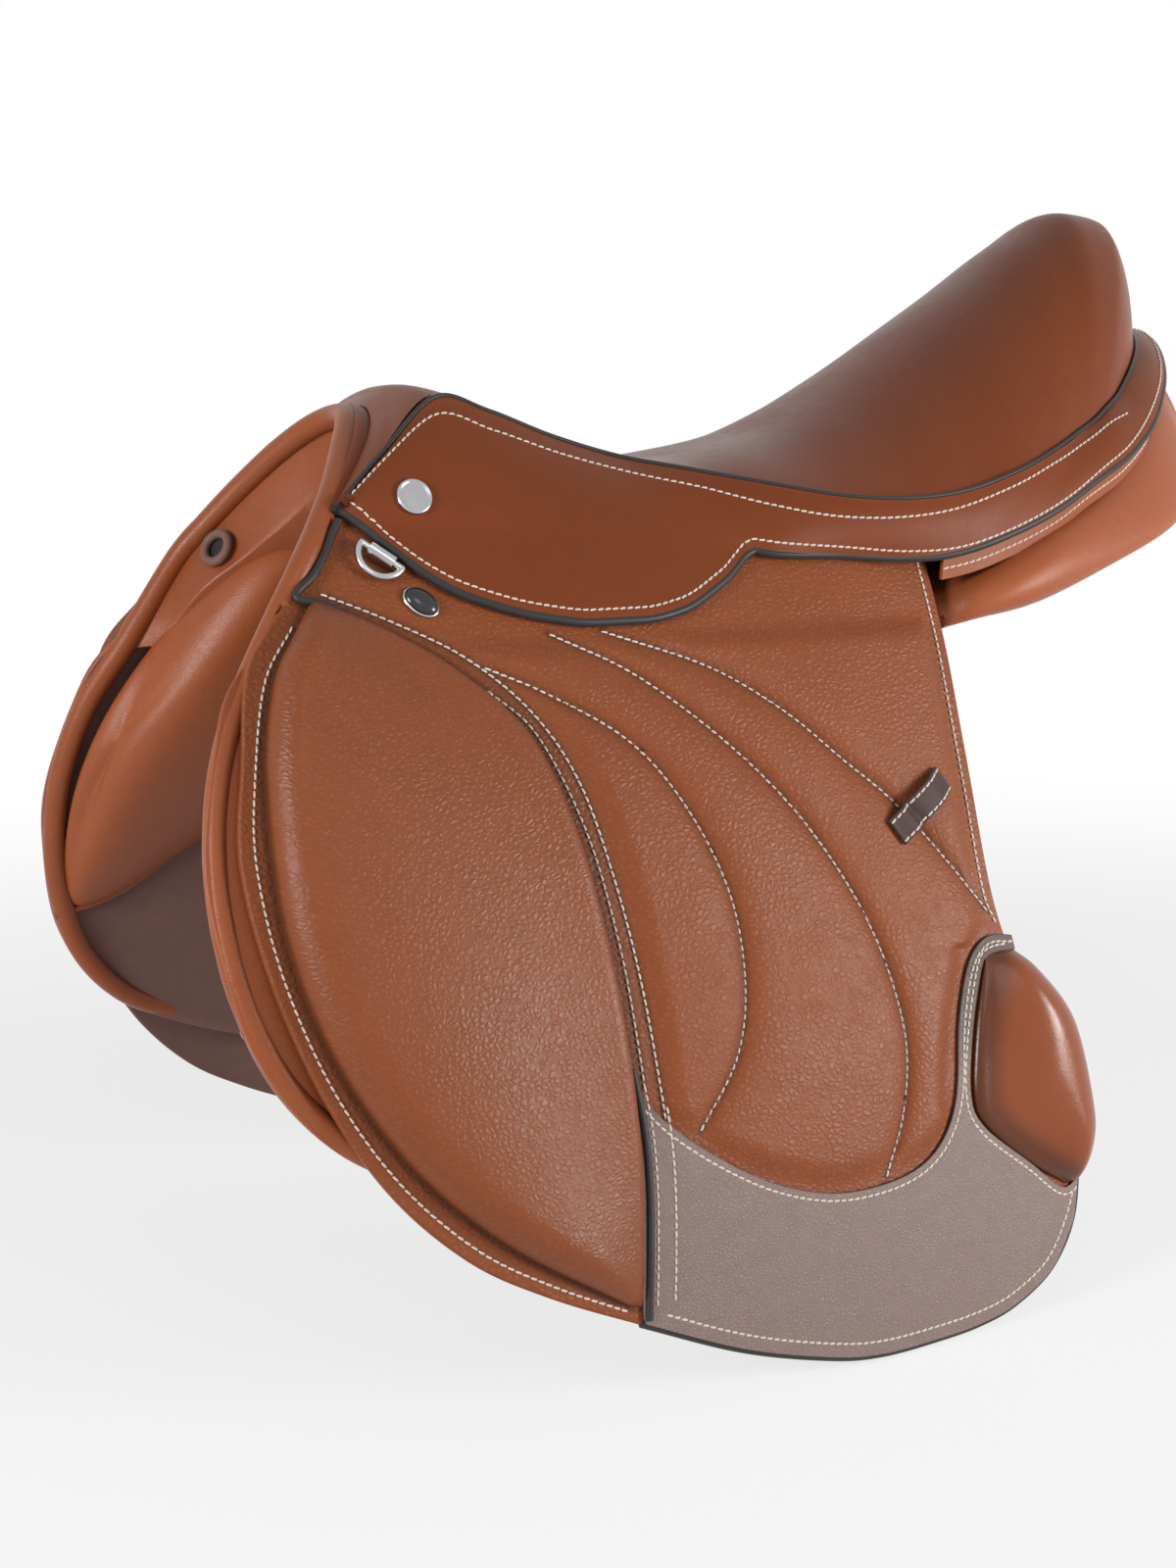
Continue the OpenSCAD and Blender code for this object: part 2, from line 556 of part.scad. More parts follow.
// Strip between the skirt band and the panels, round the cantle
module cantle_gusset() {
    first = 9;
    edge = [for (j = [first : band_cols]) band_inner[4][j]];
    path = concat(edge, [for (j = [len(edge) - 2 : -1 : 0]) mirror_y(edge[j])]);
    outer = [for (drop = [0.7, 5.5, 11]) [for (i = [0 : len(path) - 1])
        path[i] - drop * [0, 0, 1] - 0.15 * drop * welt_out(path, i)]];
    color(TAN) sheet(outer, sunk(outer, strip_t));
}

facing_edge = smooth_path(facing_low, 2);
facing_top = [for (p = smooth_path(rim_path, 2)) p - [0, 0, rim_r + 3]];
facing_last = len(facing_edge) - 1;
facing_rows = [for (k = steps(2)) concat(
    [for (i = [facing_last : -1 : 0]) mirror_y(lerp(facing_edge[i], facing_top[i], k))],
    [for (i = [1 : facing_last]) lerp(facing_edge[i], facing_top[i], k)])];
module pommel_facing() {
    color(TAN) sheet(facing_rows, sunk(facing_rows, strip_t));
}

module pommel_rim() {
    half = smooth_path(rim_path, 3);
    path = concat([for (p = turned(half)) mirror_y(p)], [for (i = [1 : len(half) - 1]) half[i]]);
    color(TAN) tube(path, rim_r, 8);
}

module tab_ring(side) {
    n = grid_normal(facing_rows, 1, tab_col);
    at = facing_rows[1][tab_col] + (tab_roll_r + 1) * n;
    color(BROWN) placed(side) translate(at) rotate([0, acos(n[2]), atan2(n[1], n[0])])
        rotate_extrude() translate([tab_ring_r, 0]) circle(tab_roll_r);
}

// Frame on the flank: local -Y points out of it, local X to the rear
module on_flank_at(at, off, turn = 0) {
    n = flank_normal(at[0], at[1]);
    translate(on_flank(at[0], at[1], off)) rotate([-asin(n[2]), 0, atan2(n[0], -n[1])]) rotate([0, turn, 0])
        children();
}

// Stirrup bar: plate on the tree's wing, arm at its front, bar open at its rear
bar_plate_in = wing_in - 1;
bar_in = bar_plate_in - bar_plate_t - bar_gap;
bar_slot_w = bar_t / 3;
catch_pivot_x = bar_l / 2 - 4;
module stirrup_bar(side) {
    plate_h = 22;
    color(STEEL) placed(side) on_flank_at(bar_at, 0) difference() {
        union() {
            translate([-bar_l / 2 - 6, bar_plate_in - bar_plate_t, -5])
                cube([bar_l + 4, bar_plate_t, plate_h]);
            translate([-bar_l / 2 - 6, bar_in - bar_t, -bar_h / 2]) cube([bar_l + 2, bar_t, bar_h]);
            translate([-bar_l / 2 - 6, bar_in - bar_t, -bar_h / 2])
                cube([8, bar_plate_in - bar_in + bar_t - 1, bar_h]);
            translate([catch_pivot_x, bar_in, 0]) rotate([90, 0, 0]) cylinder(r = bar_h / 2, h = bar_t);
        }
        translate([catch_pivot_x - bar_h / 2 - 1, bar_in - 2 * bar_slot_w, -bar_h])
            cube([bar_l, bar_slot_w, 2 * bar_h]);
        translate([catch_pivot_x, bar_in + 1, 0]) rotate([90, 0, 0]) cylinder(r = catch_pin_r, h = bar_t + 2);
    }
}

module bar_catch(side) {
    leaf_gap = 0.2;
    color(STEEL) placed(side) on_flank_at(bar_at, 0)
        translate([catch_pivot_x, bar_in - bar_slot_w - leaf_gap, 0]) rotate([90, 0, 0]) difference() {
            linear_extrude(bar_slot_w - 2 * leaf_gap) union() {
                circle(bar_h / 2 - 0.4);
                translate([0, -bar_h / 2 + 1.5]) square([catch_l, bar_h - 3]);
                translate([catch_l, 0]) circle(bar_h / 2 - 1.5);
            }
            translate([0, 0, -1]) cylinder(r = catch_pin_r + pin_gap, h = bar_t);
        }
}

module catch_pin(side) {
    color(STEEL) placed(side) on_flank_at(bar_at, 0) translate([catch_pivot_x, bar_in, 0]) rotate([90, 0, 0])
        cylinder(r = catch_pin_r, h = bar_t);
}

// Billets and girth web lie on arcs about one axis, which runs front to rear
billet_tilt = asin(flank_normal(billet_x0, billet_mid_z)[2]);
billet_axis = on_flank(billet_x0, billet_mid_z, 0)
    + billet_bend_r * [0, cos(billet_tilt), -sin(billet_tilt)];
function arc_angle(z) = asin((z - billet_axis[2]) / billet_bend_r);
module arc_strip(x, w, depth, t, z_top, z_low) {
    translate([x, billet_axis[1], billet_axis[2]]) rotate([0, 90, 0]) rotate([0, 0, 270 - arc_angle(z_top)])
        rotate_extrude(angle = arc_angle(z_top) - arc_angle(z_low), $fn = 180)
            translate([billet_bend_r - depth - t, -w / 2]) square([t, w]);
}
module arc_hole(x, z, r, depth, t) {
    translate([x, billet_axis[1], billet_axis[2]]) rotate([90 - arc_angle(z), 0, 0])
        translate([0, 0, billet_bend_r - depth - t]) cylinder(r = r, h = t);
}
function billet_x(k) = billet_x0 + (k - 1) * billet_pitch;
function billet_in(k) = k == 1 ? outer_billet_in : inner_billet_in;

module billet(side, k) {
    color(BROWN) placed(side) difference() {
        arc_strip(billet_x(k), billet_w, billet_in(k), billet_t, billet_top_z, billet_low_z);
        arc_hole(billet_x(k), billet_rivet_z, billet_rivet_r + pin_gap, billet_in(k) - 1, billet_t + 2);
        for (i = [0 : billet_holes - 1])
            arc_hole(billet_x(k), billet_low_z + billet_hole_low + i * billet_hole_pitch * cos(billet_tilt),
                billet_hole_r, billet_in(k) - 1, billet_t + 2);
    }
}

module girth_web(side) {
    head_t = 1.2;
    head_gap = 0.3;
    color(CREAM) placed(side) union() {
        arc_strip(billet_x0, 2 * billet_pitch + billet_w, girth_web_in, girth_web_t, 30, sweat_top + 0.6);
        for (k = [0 : 2]) {
            top = billet_in(k) - head_gap;
            arc_hole(billet_x(k), billet_rivet_z, billet_rivet_r, top, girth_web_in - top + 0.5);
            arc_hole(billet_x(k), billet_rivet_z, billet_rivet_r + 2, top - head_t, head_t);
        }
    }
}

// Buckle guard: a leather sleeve that slides on the middle billet
module buckle_guard(side) {
    low = guard_top_z - guard_l * cos(billet_tilt);
    color(BROWN) placed(side) difference() {
        arc_strip(billet_x0, guard_w, outer_billet_in - guard_fit - guard_t,
            billet_t + 2 * (guard_fit + guard_t), guard_top_z, low);
        arc_strip(billet_x0, billet_w + 2 * guard_fit, outer_billet_in - guard_fit,
            billet_t + 2 * guard_fit, guard_top_z + 5, low - 5);
    }
}

// Dee ring: its straight bar turns in a barrel below the front of the skirt
dee_off = dee_wire_r + 1.9;
dee_bar_l = 2 * dee_r;
barrel_r = dee_wire_r + 1.5;
barrel_l = dee_bar_l - 8;
module dee_barrel(side) {
    color(STEEL) placed(side) on_flank_at(dee_at, dee_off, dee_turn) difference() {
        union() {
            translate([-barrel_l / 2, 0, 0]) rotate([0, 90, 0]) cylinder(r = barrel_r, h = barrel_l);
            translate([-barrel_l / 2, 0, -barrel_r]) cube([barrel_l, dee_off - layer_gap, 2 * barrel_r]);
        }
        translate([-barrel_l / 2 - 1, 0, 0]) rotate([0, 90, 0])
            cylinder(r = dee_wire_r + pin_gap, h = barrel_l + 2);
    }
}

module dee_ring(side) {
    color(STEEL) placed(side) on_flank_at(dee_at, dee_off, dee_turn) union() {
        translate([-dee_r, 0, 0]) rotate([0, 90, 0]) cylinder(r = dee_wire_r, h = dee_bar_l);
        rotate([90, 0, 0]) rotate([0, 0, 180]) rotate_extrude(angle = 180)
            translate([dee_r, 0]) circle(dee_wire_r, $fn = 24);
        for (s = [-1, 1]) translate([s * dee_r, 0, 0]) sphere(dee_wire_r);
    }
}

// Domed heads: round on the skirt, long below the dee ring
module dome(r, h) {
    rotate([90, 0, 0]) rotate_extrude() intersection() {
        translate([0, h - (r * r + h * h) / (2 * h)]) circle((r * r + h * h) / (2 * h), $fn = 96);
        square([r, h]);
    }
}

module skirt_stud(side) {
    color(STEEL) placed(side) translate(stud_seat) rotate(stud_turn) dome(stud_r, stud_h);
}

module dee_stud(side) {
    color(BLACK) placed(side) on_flank_at(dee_stud_at, layer_gap, dee_turn) union() {
        for (s = [-1, 1]) translate([2.5 * s, 0, 0]) rotate([90, 0, 0]) cylinder(r = 5, h = 2.4);
        translate([-2.5, -2.4, -5]) cube([5, 2.4, 10]);
    }
}

// Seat of the skirt stud on the band
stud_col = [for (j = [0 : band_cols - 1])
    if (band_low[j][0] <= stud_at[0] && band_low[j + 1][0] > stud_at[0]) j][0];
stud_share = (stud_at[0] - band_low[stud_col][0]) / (band_low[stud_col + 1][0] - band_low[stud_col][0]);
stud_normal = grid_normal(band_grid, 3, stud_col);
stud_seat = lerp(band_grid[3][stud_col], band_grid[3][stud_col + 1], stud_share)
    + (layer_gap + 0.6) * stud_normal;
stud_turn = [-asin(stud_normal[2]), 0, atan2(stud_normal[0], -stud_normal[1])];

tree();
head_arch();
seat_webs();
seat_foam();
seat_cover();
seat_welt();
skirt_band("left");  // left_skirt_band
skirt_band("right");  // right_skirt_band
skirt("left");  // left_skirt
skirt("right");  // right_skirt
skirt_stud("left");  // left_skirt_stud
skirt_stud("right");  // right_skirt_stud
flap_head("left");  // left_flap_head
flap_head("right");  // right_flap_head
flap("left");  // left_flap
flap("right");  // right_flap
knee_pad("left");  // left_knee_pad
knee_pad("right");  // right_knee_pad
thigh_block("left");  // left_thigh_block
thigh_block("right");  // right_thigh_block
wear_patch("left");  // left_wear_patch
wear_patch("right");  // right_wear_patch
keeper("left");  // left_keeper
keeper("right");  // right_keeper
sweat_flap("left");  // left_sweat_flap
sweat_flap("right");  // right_sweat_flap
panel("left");  // left_panel
panel("right");  // right_panel
channel_lining();
cantle_gusset();
pommel_facing();
pommel_rim();
tab_ring("left");  // left_tab_ring
tab_ring("right");  // right_tab_ring
stirrup_bar("left");  // left_stirrup_bar
stirrup_bar("right");  // right_stirrup_bar
bar_catch("left");  // left_bar_catch
bar_catch("right");  // right_bar_catch
catch_pin("left");  // left_catch_pin
catch_pin("right");  // right_catch_pin
girth_web("left");  // left_girth_web
girth_web("right");  // right_girth_web
billet("left", 0);  // left_front_billet
billet("left", 1);  // left_middle_billet
billet("left", 2);  // left_rear_billet
billet("right", 0);  // right_front_billet
billet("right", 1);  // right_middle_billet
billet("right", 2);  // right_rear_billet
buckle_guard("left");  // left_buckle_guard
buckle_guard("right");  // right_buckle_guard
dee_barrel("left");  // left_dee_barrel
dee_barrel("right");  // right_dee_barrel
dee_ring("left");  // left_dee_ring
dee_ring("right");  // right_dee_ring
dee_stud("left");  // left_dee_stud
dee_stud("right");  // right_dee_stud
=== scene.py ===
"""English jumping saddle: leather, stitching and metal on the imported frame."""

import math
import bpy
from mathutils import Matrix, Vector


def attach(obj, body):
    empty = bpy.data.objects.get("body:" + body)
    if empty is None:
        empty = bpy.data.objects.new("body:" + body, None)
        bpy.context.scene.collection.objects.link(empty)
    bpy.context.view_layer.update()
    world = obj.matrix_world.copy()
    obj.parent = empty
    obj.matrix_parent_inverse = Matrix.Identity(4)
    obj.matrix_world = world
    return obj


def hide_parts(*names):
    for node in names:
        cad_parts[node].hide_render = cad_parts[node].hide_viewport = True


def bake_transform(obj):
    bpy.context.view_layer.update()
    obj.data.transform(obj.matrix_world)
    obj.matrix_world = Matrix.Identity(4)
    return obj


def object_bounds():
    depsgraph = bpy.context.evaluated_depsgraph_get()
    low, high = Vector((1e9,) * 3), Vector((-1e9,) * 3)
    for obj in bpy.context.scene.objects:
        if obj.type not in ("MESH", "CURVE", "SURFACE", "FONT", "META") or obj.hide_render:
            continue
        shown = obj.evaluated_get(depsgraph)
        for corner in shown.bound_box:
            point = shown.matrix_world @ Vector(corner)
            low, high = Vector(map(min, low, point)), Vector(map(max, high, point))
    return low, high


bl_info = {
    "name": "English Saddle",
    "version": (1, 0, 0),
    "blender": (4, 5, 0),
    "location": "View3D > Sidebar > Saddle",
    "description": "Dresses the frame of an english jumping saddle in leather, thread and metal",
    "category": "Object",
}

import bpy
import numpy as np
from bpy.props import FloatProperty, FloatVectorProperty, PointerProperty
from mathutils import Matrix, Vector
from mathutils.geometry import delaunay_2d_cdt

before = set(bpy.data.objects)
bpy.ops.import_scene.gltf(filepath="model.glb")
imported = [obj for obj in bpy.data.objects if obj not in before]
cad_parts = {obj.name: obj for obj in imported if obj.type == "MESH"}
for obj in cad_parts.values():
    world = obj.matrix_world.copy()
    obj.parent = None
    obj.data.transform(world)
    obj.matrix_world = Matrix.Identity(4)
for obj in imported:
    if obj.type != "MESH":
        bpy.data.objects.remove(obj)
CAD_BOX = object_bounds()

MM = 0.001
SIDES = (("left", False), ("right", True))
ROOT = "saddle"
UP = np.array([0.0, 0.0, 1.0])
MIRROR = np.array([1, -1, 1])
SHARP_ANGLE = 55


def measure(label, text, metres):
    return FloatProperty(name=label, description=text, default=metres, unit="LENGTH")


def colour(label, text, rgb):
    return FloatVectorProperty(
        name=label, description=text, default=rgb, subtype="COLOR", size=3, min=0.0, max=1.0)


class SaddleSizes(bpy.types.PropertyGroup):
    """Sizes of the leatherwork"""

    stitch_pitch: measure("Stitch pitch", "Distance from one stitch to the next", 0.0036)
    thread_radius: measure("Thread radius", "Radius of the sewing thread", 0.00048)
    quilt_depth: measure("Quilt depth", "How far a flap is padded between its sewn ribs", 0.0036)
    knee_height: measure("Knee pad height", "How far a knee pad stands off its flap", 0.0150)
    block_height: measure("Thigh block height", "How far a thigh block stands off its flap", 0.0175)


class SaddleColours(bpy.types.PropertyGroup):
    """Colours of the leather, the thread and the metal"""

    seat: colour("Seat", "Smooth leather of the seat and skirts", (0.176, 0.038, 0.009))
    flap: colour("Flap", "Pebbled leather of the flaps and knee pads", (0.246, 0.064, 0.019))
    panel: colour("Panel", "Smooth leather of the panels and rolls", (0.268, 0.067, 0.020))
    lining: colour("Lining", "Dark leather of linings, billets and loops", (0.165, 0.086, 0.071))
    patch: colour("Patch", "Grained leather of the wear patches", (0.240, 0.167, 0.146))
    edge: colour("Edge", "Painted leather edges and the seat welt", (0.024, 0.021, 0.021))
    thread: colour("Thread", "Sewing thread", (0.820, 0.730, 0.620))


# Thicknesses, offsets and radii, in millimetres

FLAP_T, SKIRT_T, SWEAT_T, STRIP_T = 4.5, 3.6, 3.0, 2.5
SKIRT_OUT, PATCH_OUT, PATCH_IN, LAYER = 4.2, 1.7, 0.15, 0.4
GULLET_HALF, GULLET_WALL, PANEL_SWELL, PANEL_ROLL = 34.0, 20.0, 9.0, 28.0
SWEAT_IN, SWEAT_REAR_IN = 22.3, 14.0
RIM_R, WELT_R, BEAD_R, PIPING_R, RING_R = 5.4, 1.1, 2.1, 1.7, 2.2
QUILT_FADE, RIB_SPREAD, GROOVE_WIDE, GROOVE_DEEP = 12, 5.5, 2.0, 0.5
PAD_OUT, PAD_IN, PAD_SHADE = 0.9, 0.1, 0.9
KEEPER_HALF, KEEPER_T, KEEPER_ARCH = 6.6, 2.2, 3.2
CAP_BULGE, CAP_T, HOLE_R, PANEL_SEAM_R = 3.5, 1.2, 7.0, 1.7
PANEL_BOWS = (22.0, 8.0)
SKIRT_ROW, NARROW_BAND, SEWN_LIFT, ROW_STEP = 5.0, 27, 0.3, 1.5

# Lines of the saddle: x and z on the flank, or x, half width and z.
# A seat row is its middle's x and z, its edge's x, half width and z, its power, and the underside's x and z.
# A panel row is the channel's x and z, the shoulder's x, half width and z, and the low edge's.

SEAT_BOW = 2.2
SEAT_ROWS = np.array([
    (-191, 75, -232, 68, 32, 2.0, -188, 63), (-184, 80, -205, 57, 55, 2.2, -182, 67),
    (-176, 84, -175, 46, 78, 2.5, -175, 69), (-150, 76, -150, 48, 72, 3.0, -150, 60),
    (-120, 62, -120, 50, 61, 4.0, -120, 45), (-90, 53, -88, 53, 52, 4.0, -90, 35),
    (-60, 50, -58, 64, 46, 4.0, -60, 31), (-24, 55, -25, 81, 39, 3.0, -24, 34),
    (10, 62, 8, 92, 33, 2.6, 10, 39), (45, 76, 40, 99, 31, 2.4, 45, 51),
    (80, 95, 72, 102, 34, 2.3, 80, 68), (115, 117, 105, 101, 43, 2.2, 115, 88),
    (150, 139, 132, 96, 53, 2.2, 148, 108), (185, 162, 152, 90, 61, 2.2, 178, 127),
    (212, 176, 166, 86, 67, 2.2, 200, 138), (232, 174, 177, 82, 73, 2.2, 214, 138),
    (245, 150, 185, 78.5, 77, 2.2, 224, 124), (250, 118, 191, 75, 80, 2.2, 229, 100)], float)
PANEL_ROWS = np.array([
    (-226, 8, -241, 67, -6, -303, 130, -168), (-205, 12, -222, 63, -3, -265, 127, -156),
    (-160, 10, -172, 58, -9, -200, 112, -110), (-110, 6, -116, 58, -12, -125, 96, -80),
    (-60, 4, -62, 62, -12, -65, 90, -68), (0, 2, 0, 66, -12, 0, 93, -50),
    (40, 4, 40, 72, -14, 40, 94, -38), (64, 7, 64, 88, -16, 64, 102, -30),
    (80, 10, 78, 99, -13, 80, 110, -23), (115, 18, 112, 102, 0, 115, 112, -14),
    (165, 36, 160, 95, 22, 165, 109, 2), (210, 56, 203, 78, 47, 213, 97, 17),
    (245, 74, 234, 56, 70, 248, 77, 33), (262, 84, 250, 40, 84, 268, 50, 52)], float)
FLAP_FRONT = [
    (-235, 29), (-240, 22), (-246, 15), (-251, 6), (-259, -3), (-270, -15), (-283, -33), (-291, -66),
    (-298, -102), (-293, -146), (-278, -193), (-256, -232), (-227, -262), (-196, -281), (-157, -299),
    (-108, -320), (-64, -333), (-37, -337.5)]
FLAP_REAR = [
    (57, 15), (57, -35), (55, -83), (55, -144), (62, -178), (74, -205), (83, -240), (87, -278), (82, -302),
    (66, -321), (42, -332), (20, -336.5), (-5, -338)]
NOTCH = [(-178, 15), (-178, 2), (-175, -5), (-169, -8), (-97, -9), (-91, -7), (-88, -2), (-88, 15)]
KNEE_FRONT = [
    (-250, -5), (-261, -19), (-274, -38), (-284, -74), (-286, -129), (-274, -177), (-248, -222), (-211, -258),
    (-160, -291)]
KNEE_REAR = [
    (-246, -7), (-220, -20), (-194, -37), (-169, -63), (-156, -103), (-150, -154), (-148, -201), (-149, -240),
    (-154, -292)]
FLAP_PIPING = [
    (-231, 25), (-235, 20), (-240.5, 12), (-247.5, 3.5), (-256, -3), (-255.5, -6), (-248, -7.5), (-237, -11)]
RIBS = [
    [(-183, -35), (-157, -47), (-124, -68), (-103, -96), (-89, -133), (-88, -170), (-97, -200), (-119, -227)],
    [(-150, -23), (-113, -42), (-72, -76), (-41, -113), (-18, -157), (-8, -201), (-13, -234), (-27, -262)],
    [(-125, -23), (-77, -40), (-43, -61), (-17, -84), (5, -103), (28, -129), (50, -157)]]
KNEE_SEAMS = [
    [(-246, -3), (-219, -15), (-190, -31), (-166, -54), (-151, -83), (-143, -123), (-138, -166), (-135, -220)],
    [(-184, -44), (-166, -63), (-152, -103), (-145.5, -150), (-143.5, -190), (-143, -207)]]
REAR_SEAM = [(51, 4), (51, -35), (49, -83), (49, -144), (54, -163)]
FRONT_SEAM = [
    (-260, -15), (-276, -36), (-286.5, -70), (-292, -104), (-288, -146), (-274, -190), (-252, -228),
    (-223, -258), (-193, -277), (-161, -293)]
PATCH_TOP = [
    (-151, -201), (-135, -221), (-109, -241), (-81, -256), (-51, -264), (-18, -263), (3, -254), (16, -235),
    (23, -202), (33, -178), (46, -168), (62, -169)]
PATCH_BACK = [
    (63, -176), (48, -176), (41, -181), (31, -206), (25, -234), (31, -250), (57, -271), (76, -286), (87, -283)]
PATCH_LOW = [
    (82, -302), (66, -321), (42, -332), (20, -336), (-5, -337), (-37, -336.5), (-64, -332), (-108, -319),
    (-155, -299)]
PATCH_FRONT = [(-148, -198), (-146, -222), (-146.5, -245), (-149, -270), (-152.5, -298)]
BLOCK_IN = [(45, -175), (33, -206), (27, -236), (33, -251), (58, -272), (79, -285)]
BLOCK_OUT = [(61, -175), (73, -186), (89, -211), (95, -249), (93, -270), (87, -285)]
SWEAT_FRONT = [
    (-287, -33), (-298, -55), (-310, -97), (-310, -130), (-301, -174), (-275, -212), (-230, -235),
    (-170, -250), (-80, -262)]
SWEAT_CORNER, SWEAT_ROLL_START = [(-236, -1), (-264, -13)], [(-262, -1)]
SWEAT_REAR = [(54, -1), (54, -30), (50, -200), (20, -255), (-50, -262)]
SKIRT_LOW = [
    (-233, 31), (-223, 23), (-212, 13), (-198, 1), (-184, -7), (-151, -17), (-128, -20), (-104, -20), (-84, -17),
    (-59, -6), (-37, 6.6), (-30, 7)]
FOLD = np.array([(-222.0, 22.0), (-37.0, 7.0)])
BAND_X = [-233, -222, -178, -135, -90, -50]
BAND_REAR = [
    (-25, 94.5, 6.4), (5, 97, 4.6), (35, 102, 2.5), (62, 107, 4), (92, 110, 12), (125, 109, 24), (155, 104, 38),
    (180, 98, 49), (205, 87, 63), (225, 73, 78), (242, 57, 92), (256, 38, 104.5), (266, 18, 113), (268, 0, 116)]
RIM = [
    (-197, 0, 72), (-203, 18, 68), (-213, 35, 57), (-226, 54, 40), (-239, 67, 23), (-251, 76, 7), (-264, 84, -9)]
CAP_LOW = np.array([(-240, 22), (-246, 15), (-251, 6), (-259, -3), (-266, -10)], float)
FACING_LOW = [(-196, 0, 42), (-203, 17, 36), (-215, 31, 22), (-232, 44, 6), (-248, 57, -9), (-262, 74, -34)]
KEEPER_ENDS = np.array([(1, -118), (33, -97)], float)
DEE_STUD_AT = (-204.0, -8.0)

# Turned profiles, as radius and height, and a stitch as share of its length, thickness and rise

STUD_FACE = [(7.9, -0.6), (7.9, 1.2), (7.5, 1.7), (6.9, 1.8), (6.5, 1.45), (6.0, 1.3), (4.0, 1.6), (0.2, 1.75)]
KNOB_DOME = [(5.2, 0.2), (5.2, 1.4), (4.8, 2.2), (3.8, 3.0), (2.2, 3.6), (0.2, 3.8)]
KNOB_COLLAR = [(5.9, 0.0), (5.9, 0.7), (5.5, 1.1), (4.9, 1.1)]
HOLE_FLOOR = [(5.6, -2.2), (5.4, -1.6), (3.0, -1.9), (0.4, -2.0)]
STITCH = ((-1, 0.5, -0.5), (-0.72, 0.95, 0.05), (0, 1.05, 0.3), (0.72, 0.95, 0.05), (1, 0.5, -0.5))
STITCH_SIDES, STITCH_HALF, STITCH_SLANT, STITCH_FLAT, THREAD_LIFT = 6, 0.40, 0.10, 0.85, 0.12
# A sheet's triangles: rows per spacing, and the share kept clear along the edge
ROW_SHARE, CLEAR_SHARE = 0.87, 0.55
FOLD_GAIN = 4
LEATHER_IOR = 1.34


# Shape helpers, in millimetres

def smooth(t):
    t = np.clip(t, 0, 1)
    return t * t * (3 - 2 * t)


def quarter(distance, radius):
    """Rise of a rounded edge, from 0 at the edge to 1 at its radius."""
    return np.sqrt(1 - (1 - np.clip(distance / radius, 0, 1)) ** 2)


def half_width(x, z):
    """The flank: half the saddle's width at x, z, as in the part's source."""
    s = 61 - z
    return (50.5 + 165 * (1 - np.exp(-s / 226)) - 12 * ((x + 87) / 200) ** 2
            + 21 * smooth((x + 78) / 130) * np.exp(-np.maximum(s, 0) / 78))


def unit(v):
    return v / np.maximum(np.linalg.norm(v, axis=-1, keepdims=True), 1e-9)


def flank_normal(x, z):
    x, z = np.asarray(x, float), np.asarray(z, float)
    return unit(np.stack([half_width(x - 1, z) - half_width(x + 1, z), np.full_like(x, -2),
                          half_width(x, z - 1) - half_width(x, z + 1)], -1))


def on_flank(x, z, off):
    """Points of the flank at x, z, moved out along its normal."""
    x, z = np.asarray(x, float), np.asarray(z, float)
    off = np.broadcast_to(np.asarray(off, float), x.shape)
    return np.stack([x, -half_width(x, z), z], -1) + off[..., None] * flank_normal(x, z)


def mirror_y(p):
    return np.asarray(p, float) * MIRROR


def spline(points, cuts=12):
    """Smooth curve through points, with even cuts between them."""
    p = np.asarray(points, float)
    ends = np.vstack([2 * p[0] - p[1], p, 2 * p[-1] - p[-2]])
    t = np.linspace(0, 1, cuts, endpoint=False)[:, None]
    out = [0.5 * (2 * b + (c - a) * t + (2 * a - 5 * b + 4 * c - d) * t ** 2 + (3 * b - a - 3 * c + d) * t ** 3)
           for a, b, c, d in zip(ends, ends[1:], ends[2:], ends[3:])]
    return np.vstack(out + [p[-1:]])


def lengths(line):
    return np.concatenate([[0], np.cumsum(np.linalg.norm(np.diff(line, axis=0), axis=1))])


def columns_at(u, s, table):
    """Columns of a table at places u along s."""
    return np.stack([np.interp(u, s, column) for column in table.T], -1)


def resample(line, count):
    s = lengths(line)
    return columns_at(np.linspace(0, s[-1], count), s, line)


def along(points, count, cuts=12):
    return resample(spline(points, cuts), count)


def line_at(points, t):
    """Points of a smooth curve at shares of its count of points."""
    fine = spline(points, 16)
    return columns_at(t, np.linspace(0, 1, len(fine)), fine)


def function_of(pairs):
    """Smooth single-valued curve through (u, v) pairs that never overshoots."""
    u, v = np.array(sorted(pairs), float).T
    h, d = np.diff(u), np.diff(v) / np.diff(u)
    both = d[:-1] + d[1:]
    inner = np.where(d[:-1] * d[1:] > 0, 2 * d[:-1] * d[1:] / np.where(both == 0, 1, both), 0)
    m = np.concatenate([d[:1], inner, d[-1:]])

    def value(x):
        x = np.clip(np.asarray(x, float), u[0], u[-1])
        i = np.clip(np.searchsorted(u, x) - 1, 0, len(h) - 1)
        t = (x - u[i]) / h[i]
        return ((2 * t ** 3 - 3 * t ** 2 + 1) * v[i] + (t ** 3 - 2 * t ** 2 + t) * h[i] * m[i]
                + (3 * t ** 2 - 2 * t ** 3) * v[i + 1] + (t ** 3 - t ** 2) * h[i] * m[i + 1])
    return value


def gap_to(points, line):
    """Distance of each point from a polyline."""
    best = np.full(points.shape[:-1], np.inf)
    for s, e in zip(line, line[1:]):
        d = e - s
        t = np.clip(((points - s) @ d) / (d @ d), 0, 1)
        best = np.minimum(best, np.linalg.norm(points - s - t[..., None] * d, axis=-1))
    return best


